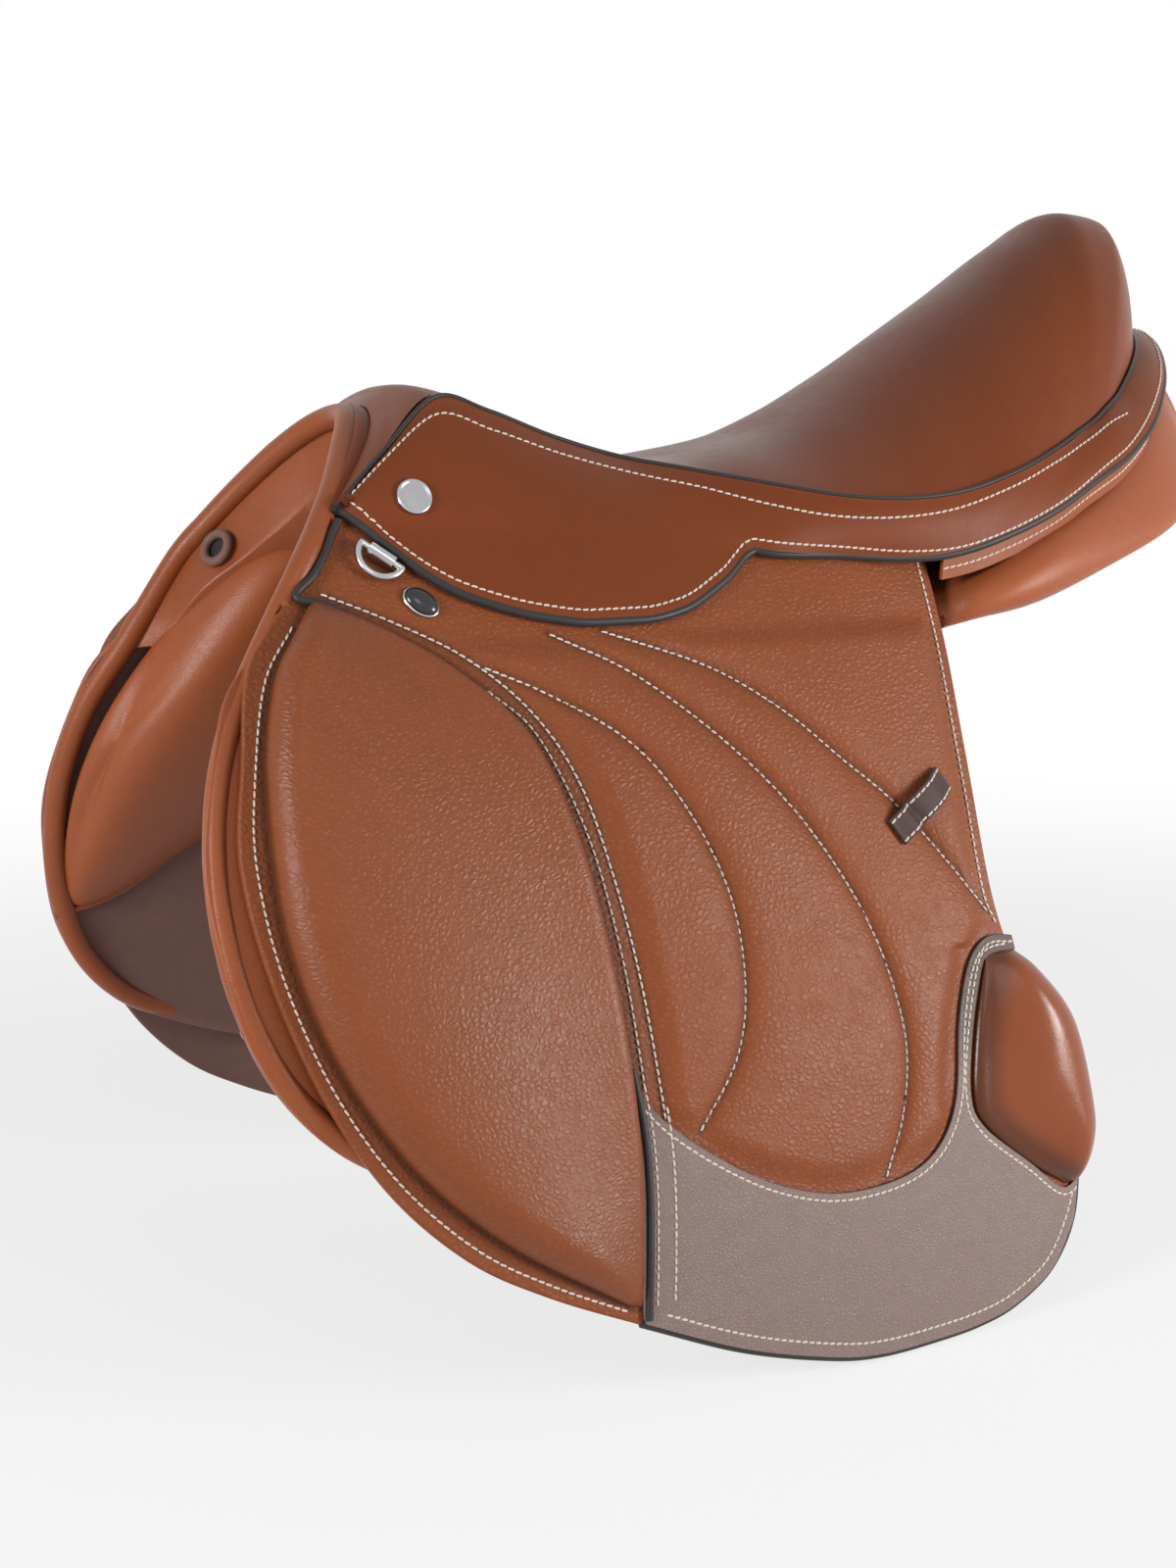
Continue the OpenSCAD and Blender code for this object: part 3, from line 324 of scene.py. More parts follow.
def inside(points, polygon):
    x, z = points.T
    hit = np.zeros(x.shape, bool)
    for a, b in zip(polygon, np.roll(polygon, -1, axis=0)):
        if a[1] != b[1]:
            hit ^= ((a[1] > z) != (b[1] > z)) & (x < (b[0] - a[0]) * (z - a[1]) / (b[1] - a[1]) + a[0])
    return hit


def grid_normals(g):
    return unit(np.cross(np.gradient(g, axis=0), np.gradient(g, axis=1)))


def tangents(line):
    return unit(np.gradient(line, axis=0))


def outward(line):
    """Level directions to the outside of a line."""
    d = tangents(line)
    return unit(np.stack([d[:, 1], -d[:, 0], np.zeros(len(d))], -1))


def inset(line, by):
    """x, z line moved to its right by a distance."""
    p = spline(line, 8)
    d = tangents(p)
    return resample(p + by * np.stack([d[:, 1], -d[:, 0]], -1), 60)


def even_out(rows, first, last, passes):
    """Evens a stretch of rows with their neighbours, in place."""
    for _ in range(passes):
        rows[first:last] += (rows[first - 1:last - 1] + rows[first + 1:last + 1] - 2 * rows[first:last]) / 4


def turns(sides):
    """Cosines and sines of even steps once round."""
    a = np.arange(sides)[:, None] * 2 * np.pi / sides
    return np.cos(a), np.sin(a)


# Mesh helpers

def read(items, key, width, kind=float):
    values = np.zeros(len(items) * width, kind)
    items.foreach_get(key, values)
    return values.reshape(-1, width)


def fold_values(mesh):
    """How far each point lies in a fold, from -1 on a ridge to 1 in a crease."""
    co, no = read(mesh.vertices, "co", 3), read(mesh.vertex_normals, "vector", 3)
    a, b = read(mesh.edges, "vertices", 2, int).T
    reach = np.maximum(np.linalg.norm(co[a] - co[b], axis=1), 1e-6)
    rise, count = np.zeros(len(co)), np.zeros(len(co))
    for i, j in ((a, b), (b, a)):
        np.add.at(rise, i, ((co[j] - co[i]) * no[i]).sum(1) / reach)
        np.add.at(count, i, 1)
    rise /= np.maximum(count, 1)
    for _ in range(2):
        total = rise.copy()
        np.add.at(total, a, rise[b])
        np.add.at(total, b, rise[a])
        rise = total / (count + 1)
    return np.clip(rise * FOLD_GAIN, -1, 1)


def flipped(faces):
    return [tuple(f)[::-1] for f in faces]


def piece(name, verts, faces, mats, face_mats=None, mirror=False, painted_shade=None):
    """Mesh object from points in millimetres; mirror gives the right side's copy, and the last argument paints shade
    on seams, grooves and shaded sides.
    """
    v = np.array(verts, float).reshape(-1, 3) * MM
    if mirror:
        v, faces = v * MIRROR, flipped(faces)
    mesh = bpy.data.meshes.new(name)
    mesh.from_pydata(v.tolist(), [], [tuple(int(i) for i in f) for f in faces])
    for m in mats if isinstance(mats, list) else [mats]:
        mesh.materials.append(m)
    if face_mats is not None:
        mesh.polygons.foreach_set("material_index", np.asarray(face_mats, np.int32))
    mesh.polygons.foreach_set("use_smooth", np.ones(len(mesh.polygons), bool))
    mesh.update()
    mesh.set_sharp_from_angle(angle=math.radians(SHARP_ANGLE))
    folds = fold_values(mesh)
    # painted shade, taken into the fold attribute that darkens the leather
    if painted_shade is not None:
        folds = np.maximum(folds, painted_shade)
    mesh.attributes.new("fold", "FLOAT", "POINT").data.foreach_set("value", folds.astype(np.float32))
    obj = bpy.data.objects.new(name, mesh)
    bpy.context.scene.collection.objects.link(obj)
    return obj


def round_edges(obj, width, segments=2, material=-1, angle=40):
    m = obj.modifiers.new("round edges", "BEVEL")
    m.width, m.segments, m.material = width * MM, segments, material
    m.limit_method, m.angle_limit = "ANGLE", math.radians(angle)
    return obj


def grid_faces(rows, cols, wrap=False):
    i, j = np.meshgrid(np.arange(rows - 1), np.arange(cols if wrap else cols - 1), indexing="ij")
    a, k = i * cols, (j + 1) % cols
    return np.stack([a + j, a + k, a + cols + k, a + cols + j], -1).reshape(-1, 4).tolist()


def loft_faces(rings, sides, closed=False):
    """Faces round a row of rings, with its ends capped, or joined when it is closed."""
    last = (rings - 1) * sides
    if closed:
        ends = [(last + j, last + (j + 1) % sides, (j + 1) % sides, j) for j in range(sides)]
    else:
        ends = [range(sides)[::-1], range(last, last + sides)]
    return grid_faces(rings, sides, wrap=True) + ends


def loft(name, rings, mats, mirror=False):
    return piece(name, rings, loft_faces(*rings.shape[:2]), mats, None, mirror)


def slab(name, outer, inner, mats, wall_mat=0, mirror=False, painted_shade=None):
    """Closed sheet between two grids; outward is row x column."""
    rows, cols = outer.shape[:2]
    base = rows * cols
    low = grid_faces(rows, cols)
    top = flipped(low)
    at = np.arange(base).reshape(rows, cols)
    ring = np.concatenate([at[0], at[1:, -1], at[-1, -2::-1], at[-2:0:-1, 0]])
    wall = [(p, q, q + base, p + base) for p, q in zip(ring, np.roll(ring, -1))]
    faces = top + [tuple(base + i for i in f) for f in low] + wall
    return piece(name, [outer, inner], faces, mats, [0] * (2 * len(top)) + [wall_mat] * len(wall), mirror, painted_shade)


def region(name, outline, outer, inner, mats, wall_mat, spacing, mirror, under_mat=0, painted_shade_at=None):
    """Closed sheet on the flank inside an outline; outer and inner give its offsets at x, z."""
    edge = resample(np.vstack([outline, outline[:1]]), max(int(lengths(outline)[-1] / spacing), 12))[:-1]
    lo, hi = edge.min(0), edge.max(0)
    rows = []
    for i, z in enumerate(np.arange(lo[1], hi[1], spacing * ROW_SHARE)):
        x = np.arange(lo[0] + i % 2 * spacing / 2, hi[0], spacing)
        rows.append(np.stack([x, np.full(len(x), z)], -1))
    mid = np.vstack(rows)
    mid = mid[inside(mid, edge)]
    mid = mid[gap_to(mid, np.vstack([edge, edge[:1]])) > CLEAR_SHARE * spacing]
    loop = list(range(len(edge)))
    found = delaunay_2d_cdt([Vector(p) for p in np.vstack([edge, mid])], list(zip(loop, loop[1:] + loop[:1])),
                            [loop], 1, 1e-6)
    pts, top = np.array([list(p) for p in found[0]]), []
    for f in found[2]:
        a, b, c = pts[list(f)]
        ahead = (b[0] - a[0]) * (c[1] - a[1]) - (b[1] - a[1]) * (c[0] - a[0]) > 0
        top.append(tuple(f) if ahead else tuple(f)[::-1])
    sides = dict.fromkeys(pair for f in top for pair in zip(f, f[1:] + f[:1]))
    rim = [(p, q) for p, q in sides if (q, p) not in sides]
    x, z = pts.T
    base = len(pts)
    faces = top + [tuple(base + i for i in f) for f in flipped(top)] + [(q, p, p + base, q + base) for p, q in rim]
    marks = [0] * len(top) + [under_mat] * len(top) + [wall_mat(*(pts[p] + pts[q]) / 2) for p, q in rim]
    # painted shade on the top face, given by the last argument
    painted_shade = None if painted_shade_at is None else np.concatenate([painted_shade_at(x, z), np.zeros(base)])
    verts = [on_flank(x, z, outer(x, z)), on_flank(x, z, inner(x, z))]
    return piece(name, verts, faces, mats, marks, mirror, painted_shade)


def tube(name, path, radius, mats, sides=12, mirror=False, closed=False, normal=UP):
    """Round cord along a path."""
    t = unit(np.roll(path, -1, 0) - np.roll(path, 1, 0)) if closed else tangents(path)
    side = unit(np.cross(t, normal))
    cos, sin = turns(sides)
    r = np.broadcast_to(radius, len(path))[:, None, None]
    rings = path[:, None] + r * (cos * side[:, None] + sin * np.cross(side, t)[:, None])
    return piece(name, rings, flipped(loft_faces(len(path), sides, closed)), mats, None, mirror)


def lathe(name, profile, at, axis, mats, sides=40, mirror=False, stretch=1.0, turn=None):
    """Solid turned about an axis through a point, from (radius, height) pairs; stretched along turn."""
    u = unit(np.cross(axis, UP) if turn is None else turn - (turn @ axis) * axis)
    cos, sin = turns(sides)
    rings = [at + axis * h + r * (cos * u * stretch + sin * np.cross(axis, u)) for r, h in profile]
    return loft(name, np.array(rings), mats, mirror)


def stitches(name, path, normals, mirror=False):
    """One row of separate stitches along a path on a surface."""
    sizes = bpy.context.scene.saddle_sizes
    radius, pitch = sizes.thread_radius / MM, sizes.stitch_pitch / MM
    s = lengths(path)
    count = max(int(s[-1] / pitch), 1)
    mid = (np.arange(count) + 0.5) * s[-1] / count
    at, no = columns_at(mid, s, path), unit(columns_at(mid, s, normals))
    ahead = columns_at(mid + 0.5, s, path) - columns_at(mid - 0.5, s, path)
    run = unit(ahead - (ahead * no).sum(1, keepdims=True) * no)
    run = unit(run + STITCH_SLANT * np.cross(no, run))
    across, half = np.cross(no, run), STITCH_HALF * s[-1] / count
    cos, sin = turns(STITCH_SIDES)
    rings = []
    for share, fat, rise in STITCH:
        centre = at + half * share * run + (THREAD_LIFT + rise * radius) * no
        rings.append(centre[:, None] + radius * fat * (cos * across[:, None] + STITCH_FLAT * sin * no[:, None]))
    one, points = loft_faces(len(STITCH), STITCH_SIDES), len(STITCH) * STITCH_SIDES
    faces = [tuple(i + points * k for i in f) for k in range(count) for f in one]
    return piece(name, np.stack(rings, 1), faces, MATS["thread"], None, mirror)


def flank_row(name, line, off, mirror, cuts=10):
    """Stitches along an x, z line on the flank; off gives the surface's offset."""
    x, z = along(line, max(int(lengths(line)[-1] / ROW_STEP), 8), cuts).T
    return stitches(name, on_flank(x, z, off(x, z)), flank_normal(x, z), mirror)


def flat(value):
    return lambda x, z: value


def settle(nodes):
    """Hides the solids that a piece stands in for."""
    if nodes:
        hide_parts(*nodes)


def finish_piece(obj, body, slot, *nodes):
    """Piece that rides on one body."""
    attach(obj, body)
    settle(nodes)


def bend_piece(obj, body, slot, *nodes):
    """Piece on a flap or skirt, with its placing baked into the mesh; the ends of its fold line are worked out, but
    nothing bends it.
    """
    side, child = body.split("_")
    start, end = (mirror_y(p) if side == "right" else p for p in BENDS[child])
    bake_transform(obj)
    settle(nodes)


def fold_z(x):
    return np.interp(x, *FOLD.T)


def skirt_bend():
    """Where a skirt starts and ends to bend, across the chord of its fold."""
    a, b = on_flank(*FOLD.T, SKIRT_OUT)
    x, z = FOLD.mean(0)
    down = on_flank(x, z - 10, SKIRT_OUT) - on_flank(x, z, SKIRT_OUT)
    down = unit(down - (down @ unit(b - a)) * unit(b - a))
    return (a + b) / 2 + 0.5 * down, (a + b) / 2 + 11 * down


BENDS = {"flap": (np.array([0, -104.0, -20.0]), np.array([0, -107.0, -33.0])), "skirt": skirt_bend()}


# Materials: shared effects are node groups, each material has its own shader

def feed(tree, made, inputs):
    """Gives a node's sockets numbers, colours or the outputs of other nodes."""
    for key, value in dict(inputs).items():
        if isinstance(value, bpy.types.NodeSocket):
            tree.links.new(value, made.inputs[key])
        else:
            made.inputs[key].default_value = value


def node(tree, kind, inputs=(), **settings):
    made = tree.nodes.new("ShaderNode" + kind)
    for key, value in settings.items():
        setattr(made, key, value)
    feed(tree, made, inputs)
    return made


def calc(tree, operation, *values, **settings):
    return node(tree, "Math", enumerate(values), operation=operation, **settings).outputs[0]


def vector(tree, operation, inputs):
    return node(tree, "VectorMath", inputs, operation=operation).outputs[0]


def map_range(tree, *values):
    """Eased step from a value, its low and high end, and the ends it is mapped to."""
    return node(tree, "MapRange", enumerate(values), interpolation_type="SMOOTHSTEP").outputs[0]


def noise(tree, place, scale, detail=3.0):
    inputs = {"Vector": place, "Scale": scale, "Detail": detail, "Roughness": 0.55}
    return node(tree, "TexNoise", inputs).outputs


def own_place(tree):
    return node(tree, "TexCoord").outputs["Object"]


def mix(tree, factor, a, b):
    return node(tree, "Mix", {0: factor, 6: a, 7: b}, data_type="RGBA").outputs[2]


def bump(tree, height, strength, depth):
    return node(tree, "Bump", {"Strength": strength, "Distance": depth * MM, "Height": height}).outputs["Normal"]


def shaded(rgb, by=1.0):
    return (*(channel * by for channel in rgb[:3]), 1.0)


def new_group(name, outputs, **inputs):
    """Node group of plain numbers: its tree, what it is given, and its end."""
    tree = bpy.data.node_groups.new(name, "ShaderNodeTree")
    for label, default in inputs.items():
        tree.interface.new_socket(label, in_out="INPUT", socket_type="NodeSocketFloat").default_value = default
    for label in outputs:
        tree.interface.new_socket(label, in_out="OUTPUT", socket_type="NodeSocketFloat")
    return tree, tree.nodes.new("NodeGroupInput").outputs, tree.nodes.new("NodeGroupOutput")


def grain_group():
    """Pebbles between creases, and fine pores, in the leather's own coordinates."""
    tree, given, result = new_group("Leather Grain", ("Height", "Crease"), Scale=600.0, Pebble=0.7, Pores=0.4)
    place = vector(tree, "MULTIPLY", {0: own_place(tree), 1: (0.85, 0.12, 1.15)})

    def scaled(by):
        return calc(tree, "MULTIPLY", given["Scale"], by)
    wobble = noise(tree, place, scaled(0.45), 2.0)["Color"]
    shift = vector(tree, "SUBTRACT", {0: wobble, 1: (0.5, 0.5, 0.5)})
    shift = vector(tree, "SCALE", {0: shift, "Scale": calc(tree, "DIVIDE", 1.1, given["Scale"])})
    moved = vector(tree, "ADD", {0: place, 1: shift})
    cells = node(tree, "TexVoronoi", {"Scale": given["Scale"], "Vector": moved}, feature="DISTANCE_TO_EDGE")
    pebble = map_range(tree, cells.outputs["Distance"], 0.0, 0.38)
    uneven = map_range(tree, noise(tree, place, scaled(0.16), 2.0)["Fac"], 0.3, 0.7, 0.75, 1.0)
    strength = calc(tree, "MULTIPLY", given["Pebble"], uneven)
    pores = calc(tree, "MULTIPLY", noise(tree, place, scaled(3.1))["Fac"], given["Pores"])
    feed(tree, result, {
        "Height": calc(tree, "ADD", calc(tree, "MULTIPLY", pebble, strength), pores),
        "Crease": calc(tree, "MULTIPLY", calc(tree, "SUBTRACT", 1.0, pebble), strength)})
    return tree


def tone_and_shade_group():
    """Slow changes of colour over a hide, painted shade in its folds, and the lighter wear of its ridges."""
    tree, given, result = new_group("Hide Tone", ("Tone", "Shade", "Rub"), Clouds=11.0, Flecks=160.0)
    place = own_place(tree)
    clouds = calc(tree, "MULTIPLY", noise(tree, place, given["Clouds"], 4.0)["Fac"], 0.7)
    flecks = calc(tree, "MULTIPLY", noise(tree, place, given["Flecks"])["Fac"], 0.3)
    fold = node(tree, "Attribute", attribute_name="fold").outputs["Fac"]
    feed(tree, result, {
        "Tone": map_range(tree, calc(tree, "ADD", clouds, flecks), 0.32, 0.68),
        "Shade": map_range(tree, fold, 0.10, 0.75), "Rub": map_range(tree, fold, -0.15, -0.7)})
    return tree


def thread_group():
    """Twisted strands of a cord or the threads of a webbing."""
    tree, given, result = new_group("Thread Twist", ("Height",), Scale=900.0)
    inputs = {"Distortion": 1.5, "Scale": given["Scale"], "Vector": own_place(tree)}
    waves = node(tree, "TexWave", inputs, bands_direction="DIAGONAL")
    feed(tree, result, {"Height": waves.outputs["Fac"]})
    return tree


def brush_group():
    """Fine lines and smears of handled metal."""
    tree, given, result = new_group("Brushed Lines", ("Lines", "Smear"), Scale=300.0)
    place = own_place(tree)
    stretched = vector(tree, "MULTIPLY", {0: place, 1: (0.12, 3.0, 3.0)})
    feed(tree, result, {
        "Lines": noise(tree, stretched, given["Scale"], 4.0)["Fac"],
        "Smear": map_range(tree, noise(tree, place, 90.0)["Fac"], 0.35, 0.7)})
    return tree


def material(name):
    mat = bpy.data.materials.new(name)
    mat.use_nodes = True
    return mat, mat.node_tree, mat.node_tree.nodes["Principled BSDF"]


def use(tree, key, **values):
    return node(tree, "Group", values, node_tree=GROUPS[key]).outputs


def leather(name, rgb, scale, pebble, pores, depth, rough, tone=0.16, shine=0.5, crease=0.30):
    """Leather of one dye: tone, creases, pores, painted shade in its folds and the wear of its ridges."""
    mat, tree, shader = material(name)
    grain, hide = use(tree, "grain", Scale=scale, Pebble=pebble, Pores=pores), use(tree, "tone")
    dye = mix(tree, hide["Tone"], shaded(rgb, 1 - tone), shaded(rgb, 1 + tone))
    # the fold Shade mixes the dye towards a fifth of itself: painted shade in folds and seam grooves
    for mark, share, by in ((grain["Crease"], crease, 0.45), (hide["Shade"], 0.72, 0.22), (hide["Rub"], 0.35, 1.35)):
        dye = mix(tree, calc(tree, "MULTIPLY", mark, share), dye, shaded(rgb, by))
    dull = calc(tree, "MULTIPLY", grain["Crease"], 0.05)
    gloss = map_range(tree, hide["Tone"], 0.0, 1.0, rough - 0.05, rough + 0.05)
    feed(tree, shader, {
        "Base Color": dye, "Roughness": calc(tree, "ADD", gloss, dull, use_clamp=True),
        "Normal": bump(tree, grain["Height"], 1.0, depth),
        "Specular IOR Level": shine, "IOR": LEATHER_IOR, "Sheen Weight": 0.02})
    return mat


def yarn(name, rgb, scale, depth):
    """Sewing thread or webbing."""
    mat, tree, shader = material(name)
    twist, hide = use(tree, "thread", Scale=scale)["Height"], use(tree, "tone", Clouds=60.0, Flecks=900.0)
    dye = mix(tree, twist, shaded(rgb, 0.72), shaded(rgb, 1.08))
    feed(tree, shader, {
        "Base Color": mix(tree, calc(tree, "MULTIPLY", hide["Tone"], 0.3), dye, shaded(rgb, 0.85)),
        "Normal": bump(tree, twist, 0.8, depth), "Roughness": 0.75, "Sheen Weight": 0.2})
    return mat


def metal(name, rgb, rough, metallic=1.0, lines=0.05):
    """Handled metal with fine lines and smears."""
    mat, tree, shader = material(name)
    brush = use(tree, "brush")
    scratch = calc(tree, "MULTIPLY", brush["Lines"], lines * 2)
    smear = map_range(tree, brush["Smear"], 0.0, 1.0, rough, rough + lines)
    feed(tree, shader, {
        "Base Color": mix(tree, brush["Smear"], shaded(rgb, 0.9), shaded(rgb)), "Metallic": metallic,
        "Roughness": calc(tree, "ADD", scratch, smear, use_clamp=True),
        "Normal": bump(tree, brush["Lines"], 0.25, 0.02)})
    return mat


def polymer(name, rgb, rough, depth):
    """Moulded plastic with a fine grain."""
    mat, tree, shader = material(name)
    grain, hide = use(tree, "grain", Scale=900.0, Pebble=0.4, Pores=0.6), use(tree, "tone")
    feed(tree, shader, {
        "Base Color": mix(tree, hide["Tone"], shaded(rgb, 0.85), shaded(rgb, 1.15)),
        "Roughness": map_range(tree, hide["Tone"], 0.0, 1.0, rough - 0.04, rough + 0.06),
        "Normal": bump(tree, grain["Height"], 0.6, depth)})
    return mat


def seen_directly(tree):
    """1 on rays from the camera, a reflection or a transmission."""
    rays = node(tree, "LightPath").outputs
    bent = calc(tree, "MAXIMUM", rays["Is Glossy Ray"], rays["Is Transmission Ray"])
    return calc(tree, "MAXIMUM", rays["Is Camera Ray"], bent)


def mix_shaders(tree, share, first, second, end):
    both = node(tree, "MixShader", {0: share, 1: first.outputs[0], 2: second.outputs[0]})
    feed(tree, tree.nodes[end], {"Surface": both.outputs[0]})


GROUPS = {}
MATS = {}


class SADDLE_OT_finishes(bpy.types.Operator):
    """Makes the leather, thread, metal and polymer materials"""

    bl_idname = "saddle.finishes"
    bl_label = "Finishes"

    def execute(self, context):
        c = context.scene.saddle_colours
        GROUPS.update(grain=grain_group(), tone=tone_and_shade_group(), thread=thread_group(), brush=brush_group())
        for key, *look in (
                ("seat", c.seat, 1250.0, 0.35, 0.35, 0.12, 0.36, 0.05, 0.32),
                ("skirt", c.seat, 1250.0, 0.38, 0.35, 0.12, 0.37, 0.05, 0.30),
                ("flap", c.flap, 370.0, 1.0, 0.10, 0.20, 0.44, 0.03, 0.42, 0.32),
                # knee leather is the flap leather darkened to 0.94: painted shade
                ("knee", shaded(c.flap, 0.94), 410.0, 0.9, 0.10, 0.16, 0.37, 0.03, 0.48, 0.30),
                ("panel", c.panel, 800.0, 0.40, 0.35, 0.14, 0.36, 0.06),
                ("lining", c.lining, 800.0, 0.35, 0.5, 0.12, 0.58, 0.12),
                ("patch", c.patch, 620.0, 1.0, 0.3, 0.16, 0.46, 0.02, 0.5, 0.38),
                # pillow leather is the panel leather lightened to 1.14: painted light
                ("pillow", shaded(c.panel, 1.14), 800.0, 0.40, 0.35, 0.14, 0.36, 0.05, 0.55),
                # block leather is the panel leather darkened to 0.88: painted shade
                ("block", shaded(c.panel, 0.88), 900.0, 0.30, 0.30, 0.08, 0.24, 0.04, 0.6),
                ("strap", shaded(c.lining, 0.30), 800.0, 0.35, 0.5, 0.12, 0.55, 0.10)):
            MATS[key] = leather(f"{key}_leather", *look)
        MATS.update(
            edge=leather("edge_paint", c.edge, 700.0, 0.2, 0.5, 0.10, 0.42, 0.15),
            thread=yarn("sewing_thread", c.thread, 1500.0, 0.10),
            webbing=yarn("webbing", (0.66, 0.60, 0.48), 700.0, 0.25),
            steel=metal("bar_steel", (0.56, 0.57, 0.59), 0.26),
            chrome=metal("chrome_trim", (0.46, 0.46, 0.47), 0.14, lines=0.04),
            stud=metal("black_stud", (0.030, 0.030, 0.033), 0.12, 0.3, 0.03),
            tree=polymer("tree_polymer", (0.035, 0.035, 0.038), 0.5, 0.05))
        return {"FINISHED"}


LIGHTS = (
    ("key_light", (0.78, -1.05, 0.02), (0.0, -0.10, -0.15), 0.5, 14.0),
    ("fill_light", (-1.38, -0.46, 0.22), (-0.15, 0.0, -0.08), 0.5, 12.5),
    ("front_light", (-0.5, -1.6, 1.0), (-0.1, 0.0, -0.1), 0.6, 3.2))
WHITE = (1, 1, 1, 1)
FLOOR_HALF, FLOOR_GAP = 6000, 1.5
CAMERA_LENS, CAMERA_FAR, CAMERA_AIM = 48.67, 0.959, (-0.1093, -0.0609, -0.0954)
CAMERA_TURN, CAMERA_LIFT, CAMERA_ROLL = (math.radians(angle) for angle in (-29.5, 8.6, -0.76))


class SADDLE_OT_stage(bpy.types.Operator):
    """Makes the floor, the light and the camera"""

    bl_idname = "saddle.stage"
    bl_label = "Stage"

    def execute(self, context):
        scene = context.scene
        scene.view_settings.view_transform = "Standard"
        scene.world = bpy.data.worlds.new("studio")
        scene.world.use_nodes = True
        tree = scene.world.node_tree
        lit = tree.nodes["Background"]
        feed(tree, lit, {"Color": (1.0, 0.99, 0.98, 1), "Strength": 0.14})
        white = node(tree, "Background", {"Strength": 1.0, "Color": WHITE})
        mix_shaders(tree, seen_directly(tree), lit, white, "World Output")

        mat, tree, shader = material("studio_floor")
        place = own_place(tree)
        speck = noise(tree, place, 3.0, 2.0)["Fac"]
        feed(tree, shader, {
            "Roughness": 0.9, "Base Color": mix(tree, speck, (0.90, 0.90, 0.90, 1), (0.93, 0.93, 0.93, 1))})
        glow = node(tree, "Emission", {"Strength": 1.0, "Color": WHITE})
        far = node(tree, "VectorMath", {0: place}, operation="LENGTH").outputs["Value"]
        share = calc(tree, "MULTIPLY", seen_directly(tree), map_range(tree, far, 0.5, 1.7, 0.74, 1.0))
        mix_shaders(tree, share, shader, glow, "Material Output")
        corners = [(x * FLOOR_HALF, y * FLOOR_HALF, CAD_BOX[0].z / MM - FLOOR_GAP)
                   for x, y in ((-1, -1), (1, -1), (1, 1), (-1, 1))]
        floor = piece("studio_floor", corners, [(0, 1, 2, 3)], mat)

        for name, place, aim, size, power in LIGHTS:
            lamp = bpy.data.lights.new(name, "AREA")
            lamp.shape, lamp.size, lamp.energy = "DISK", size, power
            obj = bpy.data.objects.new(name, lamp)
            obj.location = place
            obj.rotation_euler = (Vector(aim) - Vector(place)).to_track_quat("-Z", "Y").to_euler()
            scene.collection.objects.link(obj)

        view = bpy.data.cameras.new("photo_view")
        view.sensor_width, view.lens = 36.0, CAMERA_LENS
        level = math.cos(CAMERA_LIFT)
        ahead = Vector((-math.sin(CAMERA_TURN) * level, math.cos(CAMERA_TURN) * level, -math.sin(CAMERA_LIFT)))
        right = ahead.cross(Vector(UP)).normalized()
        up = right.cross(ahead)
        cos, sin = math.cos(CAMERA_ROLL), math.sin(CAMERA_ROLL)
        axes = (cos * right + sin * up, cos * up - sin * right, -ahead, Vector(CAMERA_AIM) - CAMERA_FAR * ahead)
        camera = bpy.data.objects.new("photo_view", view)
        camera.matrix_world = Matrix((*zip(*axes), (0, 0, 0, 1)))
        scene.collection.objects.link(camera)
        scene.camera = camera
        return {"FINISHED"}


# Forms

knee_back = function_of([(z, x) for x, z in KNEE_REAR])
rear_edge = function_of([(z, x) for x, z in FLAP_REAR[:8]] + [(-310, 78), (-338, 0)])
patch_edge = function_of(PATCH_TOP)
block_edge = function_of([(-285, 79), (-251, 33), (-236, 27), (-206, 33), (-175, 45)])


def seam_gap(x, z, lines):
    """Distance from the nearest of some sewn lines."""
    p = np.stack([x, z], -1)
    return np.minimum.reduce([gap_to(p, spline(line, 4)) for line in lines])


def quilt(x, z):
    """Padding of a flap between its sewn ribs, with a groove along each."""
    depth = bpy.context.scene.saddle_sizes.quilt_depth / MM
    room = np.minimum.reduce([
        x - knee_back(z) - 11, rear_edge(z) - x - 8, -23 - z, z - patch_edge(x) - 2,
        np.where(z < -170, block_edge(z) - x - 14, 50)])
    gap = seam_gap(x, z, RIBS)
    groove = GROOVE_DEEP * np.exp(-(gap / GROOVE_WIDE) ** 2)
    return smooth(room / QUILT_FADE) * (depth * (1 - np.exp(-gap / RIB_SPREAD)) - groove)


def sewn_on(x, z):
    return quilt(x, z) + SEWN_LIFT


def sweat_off(x):
    """Offset of a sweat flap, which runs inward from the flap's front edge."""
    deep = SWEAT_IN + (SWEAT_REAR_IN - SWEAT_IN) * smooth((x - 24) / 28)
    near = FLAP_T + 2
    return -(near + (deep - near) * smooth((x + 300) / 140))


def both_sides(line):
    """Line on both sides, from the right through its first point to the left."""
    return np.vstack([mirror_y(line[::-1]), line[1:]])


def seat_row(row, v):
    """Points across a row of the seat, from v -1 on the left to 1 on the right."""
    x0, z0, x1, y1, z1, power = row[:6]
    a = np.abs(v)
    return np.stack([x0 + (x1 - x0) * a ** SEAT_BOW, y1 * v, z1 + (z0 - z1) * (1 - a ** power)], -1)


def seat_surface(rows=150, cols=69):
    """Top and underside of the seat."""
    u = np.linspace(0, len(SEAT_ROWS) - 1, rows)
    row = [function_of(list(enumerate(column)))(u)[:, None] for column in SEAT_ROWS.T]
    v = np.sin(np.linspace(-1, 1, cols) * np.pi / 2)
    x1, y1, z1, power, xb, zb = row[2:]
    return seat_row(row, v), seat_row((xb, zb, x1 - 3 * np.sign(x1), y1 - 6, z1 - 10, power), v)


def seat_line():
    """Edge of the seat on the left, from the front corner to the middle of the cantle."""
    back = seat_row(SEAT_ROWS[-1], -np.array([0.95, 0.84, 0.66, 0.44, 0.22, 0]))
    return np.vstack([mirror_y(SEAT_ROWS[:, 2:5]), back])


